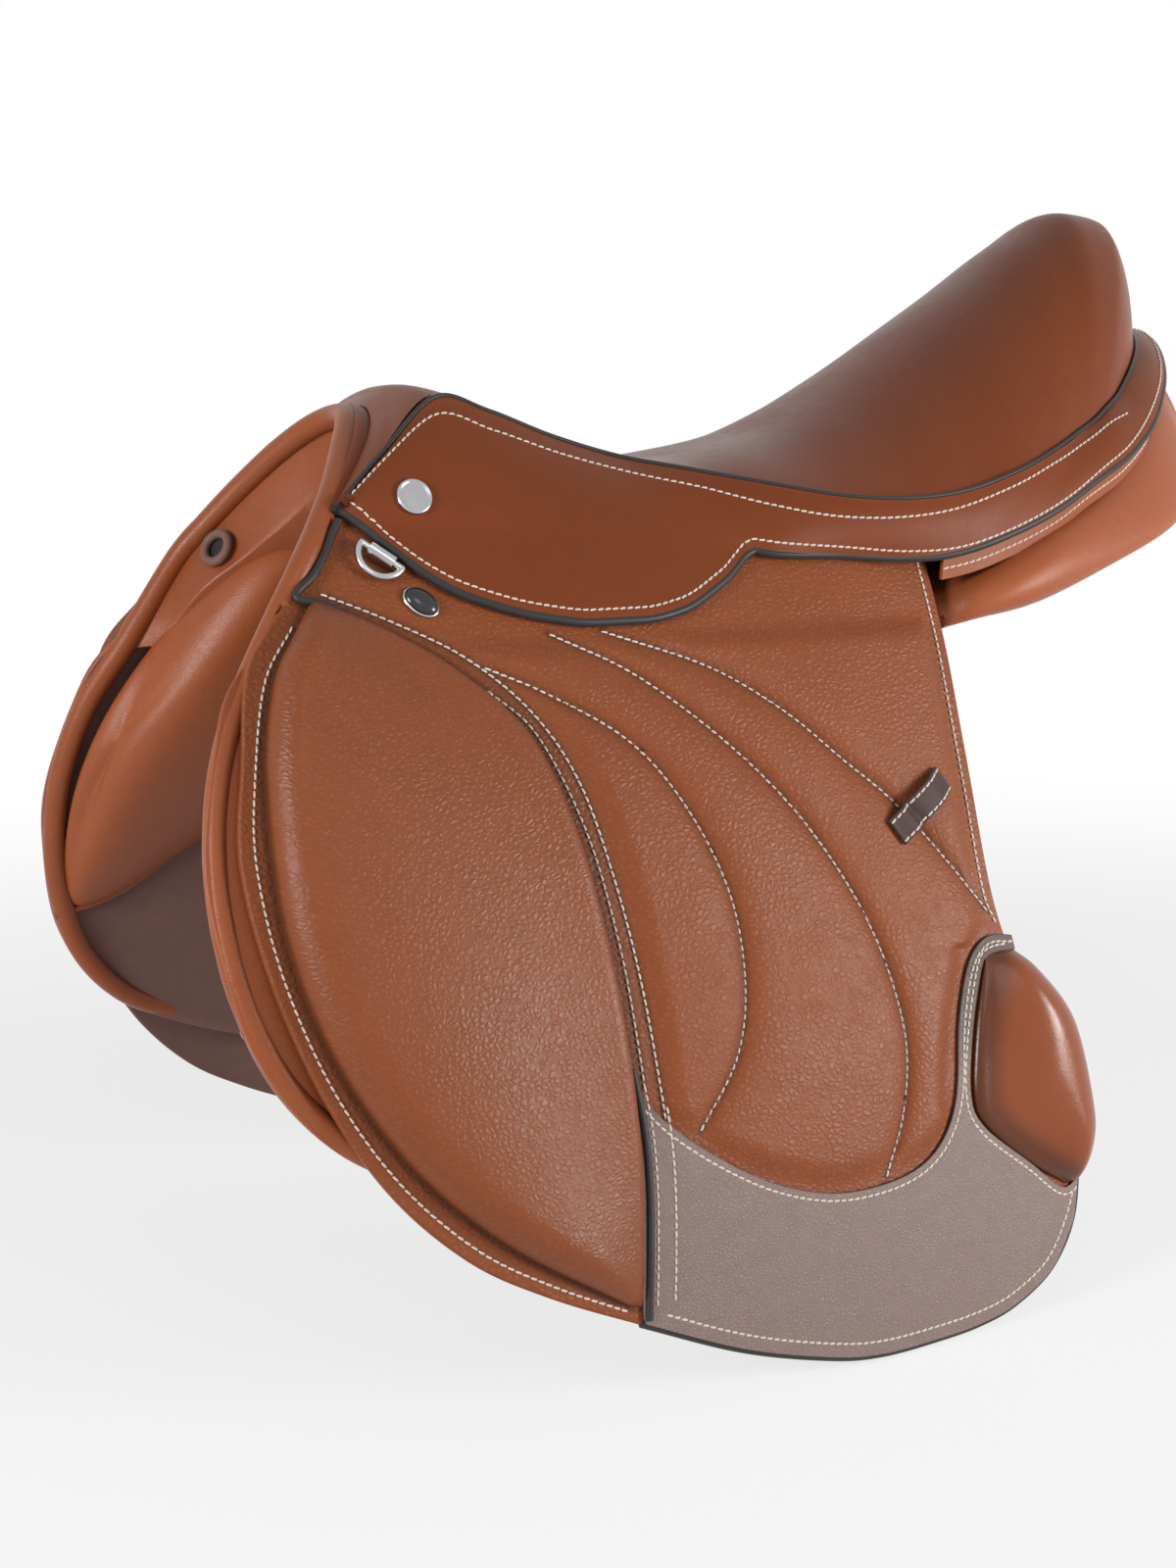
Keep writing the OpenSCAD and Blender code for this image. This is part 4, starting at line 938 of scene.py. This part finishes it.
def skirt_surface(cols=250, rows=28):
    """Outside of the left skirt and its band, from the seat's edge down to its own."""
    t = np.linspace(0.004, 1, cols)
    top = line_at(seat_line(), t)
    top = top + (2.4 - 1.9 * smooth((top[:, :1] - 140) / 40)) * outward(top) - 1.6 * UP
    front = len(BAND_X)
    total = front + len(BAND_REAR) - 1
    index = t * total
    x = np.interp(index, np.arange(front + 1), BAND_X + [BAND_REAR[0][0]])
    z_low = function_of(SKIRT_LOW)(x)
    fold = np.maximum(np.where(x > FOLD[0, 0], fold_z(x), z_low), z_low)
    rear = spline(np.vstack([on_flank(BAND_X[-1], fold_z(BAND_X[-1]), SKIRT_OUT), mirror_y(BAND_REAR)]), 16)
    behind = columns_at(index, np.linspace(front - 1, total, len(rear)), rear)
    ease = smooth((index - (front - 1)) / 0.9)[:, None]
    mid, end = (on_flank(x, z, SKIRT_OUT) * (1 - ease) + behind * ease for z in (fold, z_low))
    reach = mid - top
    lean = unit(np.cross(reach, np.gradient(top, axis=0)))
    swell = 2.6 * np.minimum(np.linalg.norm(reach, axis=-1, keepdims=True) / 30, 1.2) * lean
    band = np.array([top + reach * k + 4 * k * (1 - k) * swell for k in np.linspace(0, 1, 6)])
    drop = [on_flank(x, fold + (z_low - fold) * k, SKIRT_OUT) for k in (0.25, 0.5, 0.75)]
    whole = np.concatenate([band, drop, [end]])
    hangs = (fold - z_low > 1) & (ease[:, 0] < 0.5)
    grid = np.stack([along((whole if hangs[j] else band)[:, j], rows, 6) for j in range(cols)], 1)
    even_out(grid[1:-1].swapaxes(0, 1), 1, cols - 1, 6)
    return grid


def grid_row(grid, from_low, distance):
    """Line on a grid at a distance from its first or last row, and its normals."""
    both, rows = np.concatenate([grid, grid_normals(grid)], -1), np.arange(len(grid))
    out = []
    for j, d in enumerate(np.broadcast_to(distance, grid.shape[1])):
        s = lengths(grid[:, j])
        at = s[-1] - d if from_low else d
        if s[-1] < 2 * d:
            at = np.clip(at, 0.2 * s[-1], 0.8 * s[-1])
        out.append(columns_at(np.interp(at, s, rows), rows, both[:, j]))
    line = np.array(out)
    return line[:, :3], unit(line[:, 3:])


class SADDLE_OT_seat(bpy.types.Operator):
    """Makes the padded seat and its welt"""

    bl_idname = "saddle.seat"
    bl_label = "Seat"

    def execute(self, context):
        seat = slab("seat", *seat_surface(), MATS["seat"])
        finish_piece(seat, ROOT, "seat_leather", "seat_cover", "seat_foam")
        edge = line_at(seat_line(), np.linspace(0, 1, 260))
        edge = edge + 1.2 * outward(edge) - 0.8 * UP
        welt = tube("seat_welt_cord", mirror_y(both_sides(edge[::-1])), WELT_R, MATS["edge"], 10)
        finish_piece(welt, ROOT, "black_welt", "seat_welt")
        return {"FINISHED"}


class SADDLE_OT_skirts(bpy.types.Operator):
    """Makes the skirts with their painted edges and stitching"""

    bl_idname = "saddle.skirts"
    bl_label = "Skirts"

    def execute(self, context):
        grid = skirt_surface()
        inner = grid - SKIRT_T * grid_normals(grid)
        wide = np.linalg.norm(np.diff(grid, axis=0), axis=-1).sum(0)
        narrow = int(np.argmax((wide < NARROW_BAND) & (grid[-1, :, 0] > 100)))
        near_corner = np.interp(np.arange(grid.shape[1]), [0, 14, 30], [3.0, 7.5, 10.5])
        for side, right in SIDES:
            body = f"{side}_skirt"
            skirt = slab(f"{body}_leather", grid, inner, [MATS["skirt"], MATS["edge"]], 1, right)
            round_edges(skirt, 1.1, 3, 1)
            bend_piece(skirt, body, "seat_leather", f"{body}_band", body)
            bead = tube(f"{body}_edge", (grid[-1] + inner[-1]) / 2, BEAD_R, MATS["edge"], 12, right)
            bend_piece(bead, body, "black_welt")
            rows = ((True, SKIRT_ROW, slice(4, None)), (False, near_corner, slice(3, narrow)))
            for k, (from_low, gap, part) in enumerate(rows):
                line, normals = grid_row(grid, from_low, gap)
                row = stitches(f"{body}_stitch_{k + 1}", line[part], normals[part], right)
                bend_piece(row, body, "seat_leather")
        return {"FINISHED"}


class SADDLE_OT_flaps(bpy.types.Operator):
    """Makes the flaps with their quilted ribs, piping and stitching"""

    bl_idname = "saddle.flaps"
    bl_label = "Flaps"

    def execute(self, context):
        front = spline(FLAP_FRONT)
        outline = np.vstack([front[:1], NOTCH, spline(FLAP_REAR), front[:0:-1]])
        knee = np.vstack([spline(KNEE_FRONT, 6), spline(KNEE_REAR, 6)[::-1], KNEE_FRONT[:1]])
        lines = RIBS + KNEE_SEAMS

        # painted shade along the sewn ribs and in the groove round the knee pad
        def painted_shade_at(x, z):
            gap = seam_gap(x, z, lines)
            ribs = 0.5 * np.exp(-(gap / 1.3) ** 2) + 0.28 * np.exp(-(gap / 5) ** 2)
            return np.maximum(ribs, 0.95 * np.exp(-(gap_to(np.stack([x, z], -1), knee) / 2.4) ** 2))

        def wall(x, z):
            return int(x > -150 or -195 < x and z > -15)
        labels = ("rib_1", "rib_2", "rib_3", "knee_seam", "knee_edge", "rear_edge", "front_edge")
        mats = [MATS["flap"], MATS["edge"], MATS["lining"]]
        piping = along(FLAP_PIPING, 60, 8)
        left_over = lengths(piping)[-1] - lengths(piping)
        radius = PIPING_R * (0.35 + 0.65 * smooth(left_over / 9))
        for side, right in SIDES:
            body = f"{side}_flap"
            flap = region(f"{body}_leather", outline, quilt, flat(-FLAP_T), mats, wall, 2.4, right, 2, painted_shade_at)
            round_edges(flap, 1.6, 3)
            bend_piece(flap, body, "flap_leather", f"{body}_head", body)
            cord = tube(f"{body}_piping", on_flank(*piping.T, 2.2), radius, MATS["edge"], 12, right)
            bend_piece(cord, body, "black_welt")
            for label, line in zip(labels, lines + [REAR_SEAM, FRONT_SEAM]):
                row = flank_row(f"{body}_{label}_stitch", line, sewn_on, right)
                bend_piece(row, body, "flap_leather")
        return {"FINISHED"}


class SADDLE_OT_pads(bpy.types.Operator):
    """Makes the knee pads and thigh blocks"""

    bl_idname = "saddle.pads"
    bl_label = "Pads"

    def cushion(self, name, front, rear, rows, cols, profile, mat, mirror, shade):
        """Pad between two lines of the flank; profile gives its height from the distances to its edges."""
        a, b = along(front, rows)[:, None], along(rear, rows)[:, None]
        c = np.linspace(0, 1, cols) * np.ones((rows, 1))
        line = a + (b - a) * c[..., None]
        down = lengths(line[:, cols // 2])[:, None]
        wide = np.linalg.norm(line[:, -1] - line[:, 0], axis=-1)[:, None]
        fore, aft = c * wide, (1 - c) * wide
        x, z = line[..., 0], line[..., 1]
        outer = on_flank(x, z, PAD_OUT + profile(fore, aft, down, down[-1] - down, c))
        # painted shade along the pad's front edge, reaching as far as shade, and along its rear edge
        seam = PAD_SHADE * np.maximum(np.exp(-(fore / shade) ** 2), np.exp(-aft ** 2)).ravel()
        return slab(name, outer, on_flank(x, z, PAD_IN), mat, 0, mirror, np.concatenate([seam, seam]))

    def execute(self, context):
        sizes = context.scene.saddle_sizes

        def knee_rise(fore, aft, above, below, c):
            high = sizes.knee_height / MM * (1 - 0.66 * smooth((c - 0.12) / 0.88))
            return high * quarter(fore, 17) * quarter(aft, 6) * quarter(above, 22) * quarter(below, 60)

        def block_rise(fore, aft, above, below, c):
            high = sizes.block_height / MM * (0.18 + 0.82 * smooth(c / 0.68))
            return high * quarter(fore, 4) * quarter(aft, 20) * quarter(above, 44) * quarter(below, 30)
        for side, right in SIDES:
            body = f"{side}_flap"
            knee = self.cushion(
                f"{side}_knee_cushion", KNEE_FRONT, KNEE_REAR, 130, 64, knee_rise, MATS["knee"], right, 0.5)
            bend_piece(knee, body, "flap_leather", f"{side}_knee_pad")
            # a wide band of painted shade runs along the thigh block's inner edge
            block = self.cushion(
                f"{side}_thigh_cushion", BLOCK_IN, BLOCK_OUT, 60, 40, block_rise, MATS["block"], right, 13)
            finish_piece(block, body, "panel_leather", f"{side}_thigh_block")
        return {"FINISHED"}


class SADDLE_OT_patches(bpy.types.Operator):
    """Makes the wear patches with their painted edge and stitching"""

    bl_idname = "saddle.patches"
    bl_label = "Wear patches"

    def execute(self, context):
        outline = np.vstack([spline(PATCH_TOP), spline(PATCH_BACK), spline(PATCH_LOW)])
        rows = {
            "top": inset(PATCH_TOP, 3.2)[2:], "front": inset(PATCH_FRONT, -3.6)[4:-3],
            "front_inner": inset(PATCH_FRONT, -12.0)[10:-4],
            "low": inset([(91, -283)] + PATCH_LOW, 6.0)[2:-2], "back": inset(PATCH_BACK, 3.2)[2:-1]}
        cords = (("edge", along(PATCH_FRONT, 60), 1.5, 1.8), ("hem", along([(89, -276)] + PATCH_LOW, 120), -0.9, 2.0))
        for side, right in SIDES:
            body = f"{side}_flap"
            # the patch is painted darker towards the top, up its arm: painted shade
            patch = region(
                f"{side}_patch_leather", outline, flat(PATCH_OUT), flat(PATCH_IN), [MATS["patch"], MATS["edge"]],
                flat(1), 3.0, right, painted_shade_at=lambda x, z: 0.8 * smooth((z + 246) / 60))
            round_edges(patch, 0.5)
            finish_piece(patch, body, "taupe_leather", f"{side}_wear_patch")
            for label, line, off, radius in cords:
                cord = tube(f"{side}_patch_{label}", on_flank(*line.T, off), radius, MATS["edge"], 10, right,
                            normal=flank_normal(*line.T))
                finish_piece(cord, body, "black_welt")
            for label, line in rows.items():
                row = flank_row(f"{side}_patch_{label}_stitch", line, flat(PATCH_OUT), right, 2)
                finish_piece(row, body, "taupe_leather")
        return {"FINISHED"}


class SADDLE_OT_keepers(bpy.types.Operator):
    """Makes the strap keepers on the flaps"""

    bl_idname = "saddle.keepers"
    bl_label = "Keepers"

    def execute(self, context):
        a, b = KEEPER_ENDS
        d = unit(b - a)
        c, w = np.linspace(0, 1, 30), np.linspace(KEEPER_HALF, -KEEPER_HALF, 9)[:, None]
        x, z = a[0] + (b - a)[0] * c - w * d[1], a[1] + (b - a)[1] * c + w * d[0]
        lift = sewn_on(x, z) + KEEPER_ARCH * smooth(np.minimum(c, 1 - c) / 0.3)
        outer, inner = on_flank(x, z, lift + KEEPER_T), on_flank(x, z, lift)
        for side, right in SIDES:
            body = f"{side}_flap"
            loop = slab(f"{side}_keeper_loop", outer, inner, [MATS["strap"], MATS["edge"]], 1, right)
            round_edges(loop, 0.7)
            finish_piece(loop, body, "dark_leather", f"{side}_keeper")
            for k, row in enumerate((1, 7)):
                sewn = stitches(f"{side}_keeper_stitch_{k + 1}", outer[row], grid_normals(outer)[row], right)
                finish_piece(sewn, body, "dark_leather")
        return {"FINISHED"}


def panel_rings(count=5, around=52):
    """Rings of the left panel cushion, from its front roll to the back."""
    def arc(t):
        return math.sin(math.pi * t)
    lines = []
    for r in PANEL_ROWS:
        top, foot = np.array([r[0], -GULLET_HALF, r[1]]), np.array([r[0], -GULLET_HALF, r[1] - GULLET_WALL])
        shoulder, low = mirror_y(r[2:5]), mirror_y(r[5:8])
        under = unit(np.cross([1, 0, 0], foot - low))
        full = smooth((r[0] - 50) / 60)
        near = 1 - smooth((r[0] - 85) / 70)
        low = low - 6 * full * UP
        shoulder = shoulder + np.array([0, -7 * near, 8]) * full
        bulge = (4 + 7 * near) * full
        roll = PANEL_ROLL * (1 - smooth((r[0] - PANEL_ROWS[0, 0]) / 45))
        outside = [low + (shoulder - low) * t - np.array([roll, bulge, 0]) * arc(t) for t in (0, 0.3, 0.65)]
        below = [foot + (low - foot) * t - PANEL_SWELL * arc(t) ** 0.8 * under - np.array([roll / 2 * arc(t), 0, 0])
                 for t in (0, 0.25, 0.5, 0.75, 0.93)]
        lines.append(outside + [shoulder, (shoulder + top) / 2, top] + below)
    fine = np.stack([spline(line, count) for line in np.array(lines).swapaxes(0, 1)], 1)
    rings = np.array([resample(spline(np.vstack([ring[-2:], ring, ring[:3]]), 8)[16:-16], around + 1)[:-1]
                      for ring in fine])
    for _ in range(6):
        rings = (2 * rings + np.roll(rings, 1, 1) + np.roll(rings, -1, 1)) / 4
    mids = rings.mean(1, keepdims=True)
    rings = mids + (rings - mids) * (1 + 0.17 * smooth((-150 - mids[..., :1]) / 40))
    x, y, z = np.moveaxis(rings, -1, 0)
    room = half_width(x, z) - (sweat_off(x) - SWEAT_T - 2 * LAYER) / flank_normal(x, z)[..., 1]
    rings[..., 1] = np.where(x > 60, y, np.maximum(y, -room))
    return rings


def rounded_ends(rings, first, last, seam, steps=14):
    """Closes the ends of a loft with shrinking rings that bow out, and evens its front away from a seam."""
    def cap(ring, inner, out):
        mid = ring.mean(0)
        way = unit(mid - inner.mean(0))
        return [mid + (ring - mid) * math.cos(t) + way * out * math.sin(t)
                for t in np.linspace(0, math.pi / 2, steps + 1)[1:] * 0.998]
    rings = np.array(cap(rings[0], rings[1], first)[::-1] + list(rings) + cap(rings[-1], rings[-2], last))
    apart = np.linalg.norm(rings[:, :, None] - seam, axis=-1).min(-1)[..., None]
    ease = smooth((-130 - rings[..., :1]) / 40)
    for turn in range(16):
        if turn < 6:
            rings += ease * smooth((apart - 3) / 20) * (np.roll(rings, 1, 1) + np.roll(rings, -1, 1) - 2 * rings) / 4
        rings[0] += (rings[1].mean(0) - rings[0].mean(0)) / 2
        rings[1:-1] += ease[1:-1] * (rings[:-2] + rings[2:] - 2 * rings[1:-1]) / 4
    return rings


class SADDLE_OT_panels(bpy.types.Operator):
    """Makes the padded panels, the sweat flaps and the channel lining"""

    bl_idname = "saddle.panels"
    bl_label = "Panels"

    def execute(self, context):
        outline = np.vstack([spline(SWEAT_CORNER + SWEAT_FRONT), spline(SWEAT_REAR)[::-1]])
        low_seam = along(mirror_y(PANEL_ROWS[:4, 5:]), 80)
        rings = rounded_ends(panel_rings()[2:], *PANEL_BOWS, low_seam)
        for side, right in SIDES:
            panel = loft(f"{side}_panel_cushion", rings[:, ::-1], MATS["pillow"], right)
            finish_piece(panel, ROOT, "panel_leather", f"{side}_panel")
            sweat = region(
                f"{side}_sweat_leather", outline, lambda x, z: sweat_off(x), lambda x, z: sweat_off(x) - SWEAT_T,
                [MATS["panel"], MATS["lining"]], flat(0), 3.5, right, 1)
            round_edges(sweat, 0.8)
            finish_piece(sweat, ROOT, "dark_leather", f"{side}_sweat_flap")
            seam = tube(f"{side}_panel_seam", low_seam, PANEL_SEAM_R, MATS["panel"], 10, right)
            finish_piece(seam, ROOT, "panel_leather")
        mid = spline(PANEL_ROWS[1:, :2], 5)
        mid = mid[mid[:, 0] < 254]
        y = np.linspace(-1, 1, 9) * (GULLET_HALF - LAYER)
        top = np.stack(np.broadcast_arrays(mid[:, :1] + 3, y, mid[:, 1:] + STRIP_T - 2), -1)
        lining = slab("channel_leather", top, top - STRIP_T * UP, MATS["lining"])
        finish_piece(lining, ROOT, "dark_leather", "channel_lining")
        return {"FINISHED"}


def node_points(name):
    return read(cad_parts[name].data.vertices, "co", 3) / MM


def node_frame(name):
    """Middle of a CAD node and its axes, the longest first."""
    p = node_points(name)
    return (p.min(0) + p.max(0)) / 2, np.linalg.svd(p - p.mean(0), full_matrices=False)[2]


class SADDLE_OT_pommel(bpy.types.Operator):
    """Makes the rolled rim, the cap, the facing and the ringed holes of the pommel"""

    bl_idname = "saddle.pommel"
    bl_label = "Pommel"

    def execute(self, context):
        roll = on_flank(*inset(SWEAT_ROLL_START + SWEAT_FRONT[:8], -5.0).T, -FLAP_T - 6.2)
        line = along(np.vstack([mirror_y(RIM[:6]), roll[5::6]]), 260, 10)
        path = both_sides(line)
        even_out(path, 235, 285, 60)
        ends = lengths(path)
        radius = RIM_R * (0.15 + 0.85 * smooth(np.minimum(ends, ends[-1] - ends) / 70))
        rim = tube("pommel_roll", path, radius, MATS["panel"], 16)
        finish_piece(rim, ROOT, "panel_leather", "pommel_rim")

        seam = seat_row(SEAT_ROWS[0], -np.linspace(0, 1, 30)) + np.array([1, 0, -1.5])
        seam = resample(np.vstack([seam, on_flank(*CAP_LOW.T, -1.0)]), 70)
        rolled = along(mirror_y(RIM), 70, 10)
        cap = np.array([both_sides(rolled + (seam - rolled) * k) for k in np.linspace(0, 1, 7)])
        if (grid_normals(cap) @ np.array([-1, 0, 0.5])).mean() < 0:
            cap = cap[::-1]
        column = np.arange(cap.shape[1])
        ease = smooth(np.minimum(column, column[::-1]) / 30)
        cap = cap + CAP_BULGE * (np.sin(np.linspace(0, np.pi, 7))[:, None] * ease)[..., None] * grid_normals(cap)
        nose = slab("pommel_cap", cap, cap - CAP_T * grid_normals(cap), MATS["skirt"])
        finish_piece(nose, ROOT, "seat_leather")

        low = along(FACING_LOW, 48, 8)
        top = resample(mirror_y(line[line[:, 2] > -36]), 48) + np.array([1.5, 0, 0])
        fall = np.minimum(-16, 11 - low[:, 2])
        tuck = np.stack([np.full_like(fall, 18), 0 * fall, fall], -1)
        rows = [low + tuck * k for k in (1.0, 0.75, 0.5, 0.25)]
        rows += [low + (top - low) * k for k in np.linspace(0, 1, 9)]
        grid = np.array([both_sides(row) for row in rows])
        even_out(grid.swapaxes(0, 1), 40, 55, 5)
        facing = slab("pommel_face", grid, grid - STRIP_T * grid_normals(grid), MATS["panel"])
        round_edges(facing, 0.8)
        finish_piece(facing, ROOT, "panel_leather", "pommel_facing")

        cos, sin = turns(48)
        for side, _ in SIDES:
            mid, axes = node_frame(f"{side}_tab_ring")
            normal = axes[2] if axes[2][0] < 0 else -axes[2]
            loop = mid + HOLE_R * (cos * axes[0] + sin * axes[1])
            ring = tube(f"{side}_hole_ring", loop, RING_R, MATS["lining"], 12, closed=True, normal=normal)
            finish_piece(ring, ROOT, "dark_leather", f"{side}_tab_ring")
            cup = lathe(f"{side}_hole_floor", HOLE_FLOOR, mid, normal, MATS["edge"])
            finish_piece(cup, ROOT, "black_welt")
        return {"FINISHED"}


class SADDLE_OT_cantle(bpy.types.Operator):
    """Makes the stitched gusset round the back of the seat"""

    bl_idname = "saddle.cantle"
    bl_label = "Cantle gusset"

    def execute(self, context):
        grid = skirt_surface()
        edge = (grid - SKIRT_T * grid_normals(grid))[-1]
        edge = edge[edge[:, 0] > 58]
        path = mirror_y(both_sides(edge[::-1]))
        deep = 0.8 + 24 * (1 - smooth((np.abs(path[:, 1:2]) - 38) / 14))
        drops = [0.7, 2.5, 4.5, 6.5, 8.5, 11.0] + [11 + deep * k for k in (0.25, 0.5, 0.75, 1.0)]
        rows = np.array([path - d * UP - 0.15 * d * outward(path) for d in drops])
        even_out(rows.swapaxes(0, 1), len(edge) - 12, len(edge) + 11, 12)
        normals = grid_normals(rows)
        gusset = slab("cantle_band", rows, rows - STRIP_T * normals, MATS["panel"])
        round_edges(gusset, 0.5)
        finish_piece(gusset, ROOT, "panel_leather", "cantle_gusset")
        sewn = stitches("cantle_stitch", rows[3], normals[3])
        finish_piece(sewn, ROOT, "panel_leather")
        return {"FINISHED"}


def dressed_copy(part, name, mat, width):
    """Copy of a CAD strap with softened edges."""
    p = node_points(part)
    _, first, back = np.unique(np.round(p, 3), axis=0, return_index=True, return_inverse=True)
    faces = [tuple(back[i] for i in f.vertices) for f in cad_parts[part].data.polygons]
    strap = piece(name, p[first], [f for f in faces if len(set(f)) == len(f)], mat)
    strap.data.shade_flat()
    strap.data.attributes["fold"].data.foreach_set("value", np.zeros(len(first), np.float32))
    return round_edges(strap, width, angle=50)


class SADDLE_OT_straps(bpy.types.Operator):
    """Makes the billets, buckle guards and webs under the flaps and the seat"""

    bl_idname = "saddle.straps"
    bl_label = "Straps"

    def execute(self, context):
        webs = dressed_copy("seat_webs", "seat_straining_webs", MATS["webbing"], 0.3)
        finish_piece(webs, ROOT, "webbing", "seat_webs")
        for side, _ in SIDES:
            for part in ("front_billet", "middle_billet", "rear_billet", "buckle_guard"):
                body = f"{side}_{part}"
                strap = dressed_copy(body, f"{body}_strap", MATS["lining"], 0.7)
                finish_piece(strap, body, "dark_leather", body)
            web = dressed_copy(f"{side}_girth_web", f"{side}_girth_webbing", MATS["webbing"], 0.4)
            finish_piece(web, ROOT, "webbing", f"{side}_girth_web")
        return {"FINISHED"}


class SADDLE_OT_metal(bpy.types.Operator):
    """Finishes the stirrup bars, the dee rings, the studs and the tree"""

    bl_idname = "saddle.metal"
    bl_label = "Metal"

    def execute(self, context):
        shown = {"tree": "tree", "head_arch": "steel"}
        for side, _ in SIDES:
            shown.update({f"{side}_{part}": "steel" for part in ("stirrup_bar", "bar_catch", "catch_pin")})
            shown.update({f"{side}_{part}": "chrome" for part in ("dee_barrel", "dee_ring")})
        for part, finish in shown.items():
            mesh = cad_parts[part].data
            mesh.materials.clear()
            mesh.materials.append(MATS[finish])
        grid = skirt_surface()
        normals = grid_normals(grid).reshape(-1, 3)
        grid = grid.reshape(-1, 3)
        at, n = on_flank(*DEE_STUD_AT, 0.2), flank_normal(*DEE_STUD_AT)
        long = node_frame("left_dee_stud")[1][0]
        for side, right in SIDES:
            mid = node_frame(f"{side}_skirt_stud")[0]
            i = np.linalg.norm(grid - (mirror_y(mid) if right else mid), axis=-1).argmin()
            stud = lathe(f"{side}_skirt_button", STUD_FACE, grid[i], normals[i], MATS["chrome"], 48, right)
            finish_piece(stud, ROOT, "chrome_trim", f"{side}_skirt_stud")
            knob = lathe(f"{side}_dee_knob", KNOB_DOME, at, n, MATS["stud"], 40, right, 1.5, long)
            finish_piece(knob, ROOT, "black_stud", f"{side}_dee_stud")
            rim = lathe(f"{side}_dee_knob_rim", KNOB_COLLAR, at, n, MATS["chrome"], 40, right, 1.45, long)
            finish_piece(rim, ROOT, "chrome_trim")
        return {"FINISHED"}


class SADDLE_PT_pieces(bpy.types.Panel):
    """Sizes, colours and pieces of the saddle"""

    bl_idname = "SADDLE_PT_pieces"
    bl_label = "Saddle"
    bl_space_type = "VIEW_3D"
    bl_region_type = "UI"
    bl_category = "Saddle"

    def draw(self, context):
        for group in (context.scene.saddle_sizes, context.scene.saddle_colours):
            for name in group.__annotations__:
                self.layout.prop(group, name)
        for operator in OPERATORS:
            self.layout.operator(operator.bl_idname)


OPERATORS = (
    SADDLE_OT_finishes, SADDLE_OT_stage, SADDLE_OT_seat, SADDLE_OT_skirts, SADDLE_OT_flaps, SADDLE_OT_pads,
    SADDLE_OT_patches, SADDLE_OT_keepers, SADDLE_OT_panels, SADDLE_OT_pommel, SADDLE_OT_cantle,
    SADDLE_OT_straps, SADDLE_OT_metal)
CLASSES = (SaddleSizes, SaddleColours, *OPERATORS, SADDLE_PT_pieces)


def register():
    for cls in CLASSES:
        bpy.utils.register_class(cls)
    bpy.types.Scene.saddle_sizes = PointerProperty(type=SaddleSizes)
    bpy.types.Scene.saddle_colours = PointerProperty(type=SaddleColours)


def unregister():
    del bpy.types.Scene.saddle_colours
    del bpy.types.Scene.saddle_sizes
    for cls in reversed(CLASSES):
        bpy.utils.unregister_class(cls)


def main():
    register()
    for operator in OPERATORS:
        group, name = operator.bl_idname.split(".")
        getattr(getattr(bpy.ops, group), name)()


if __name__ == "__main__":
    main()
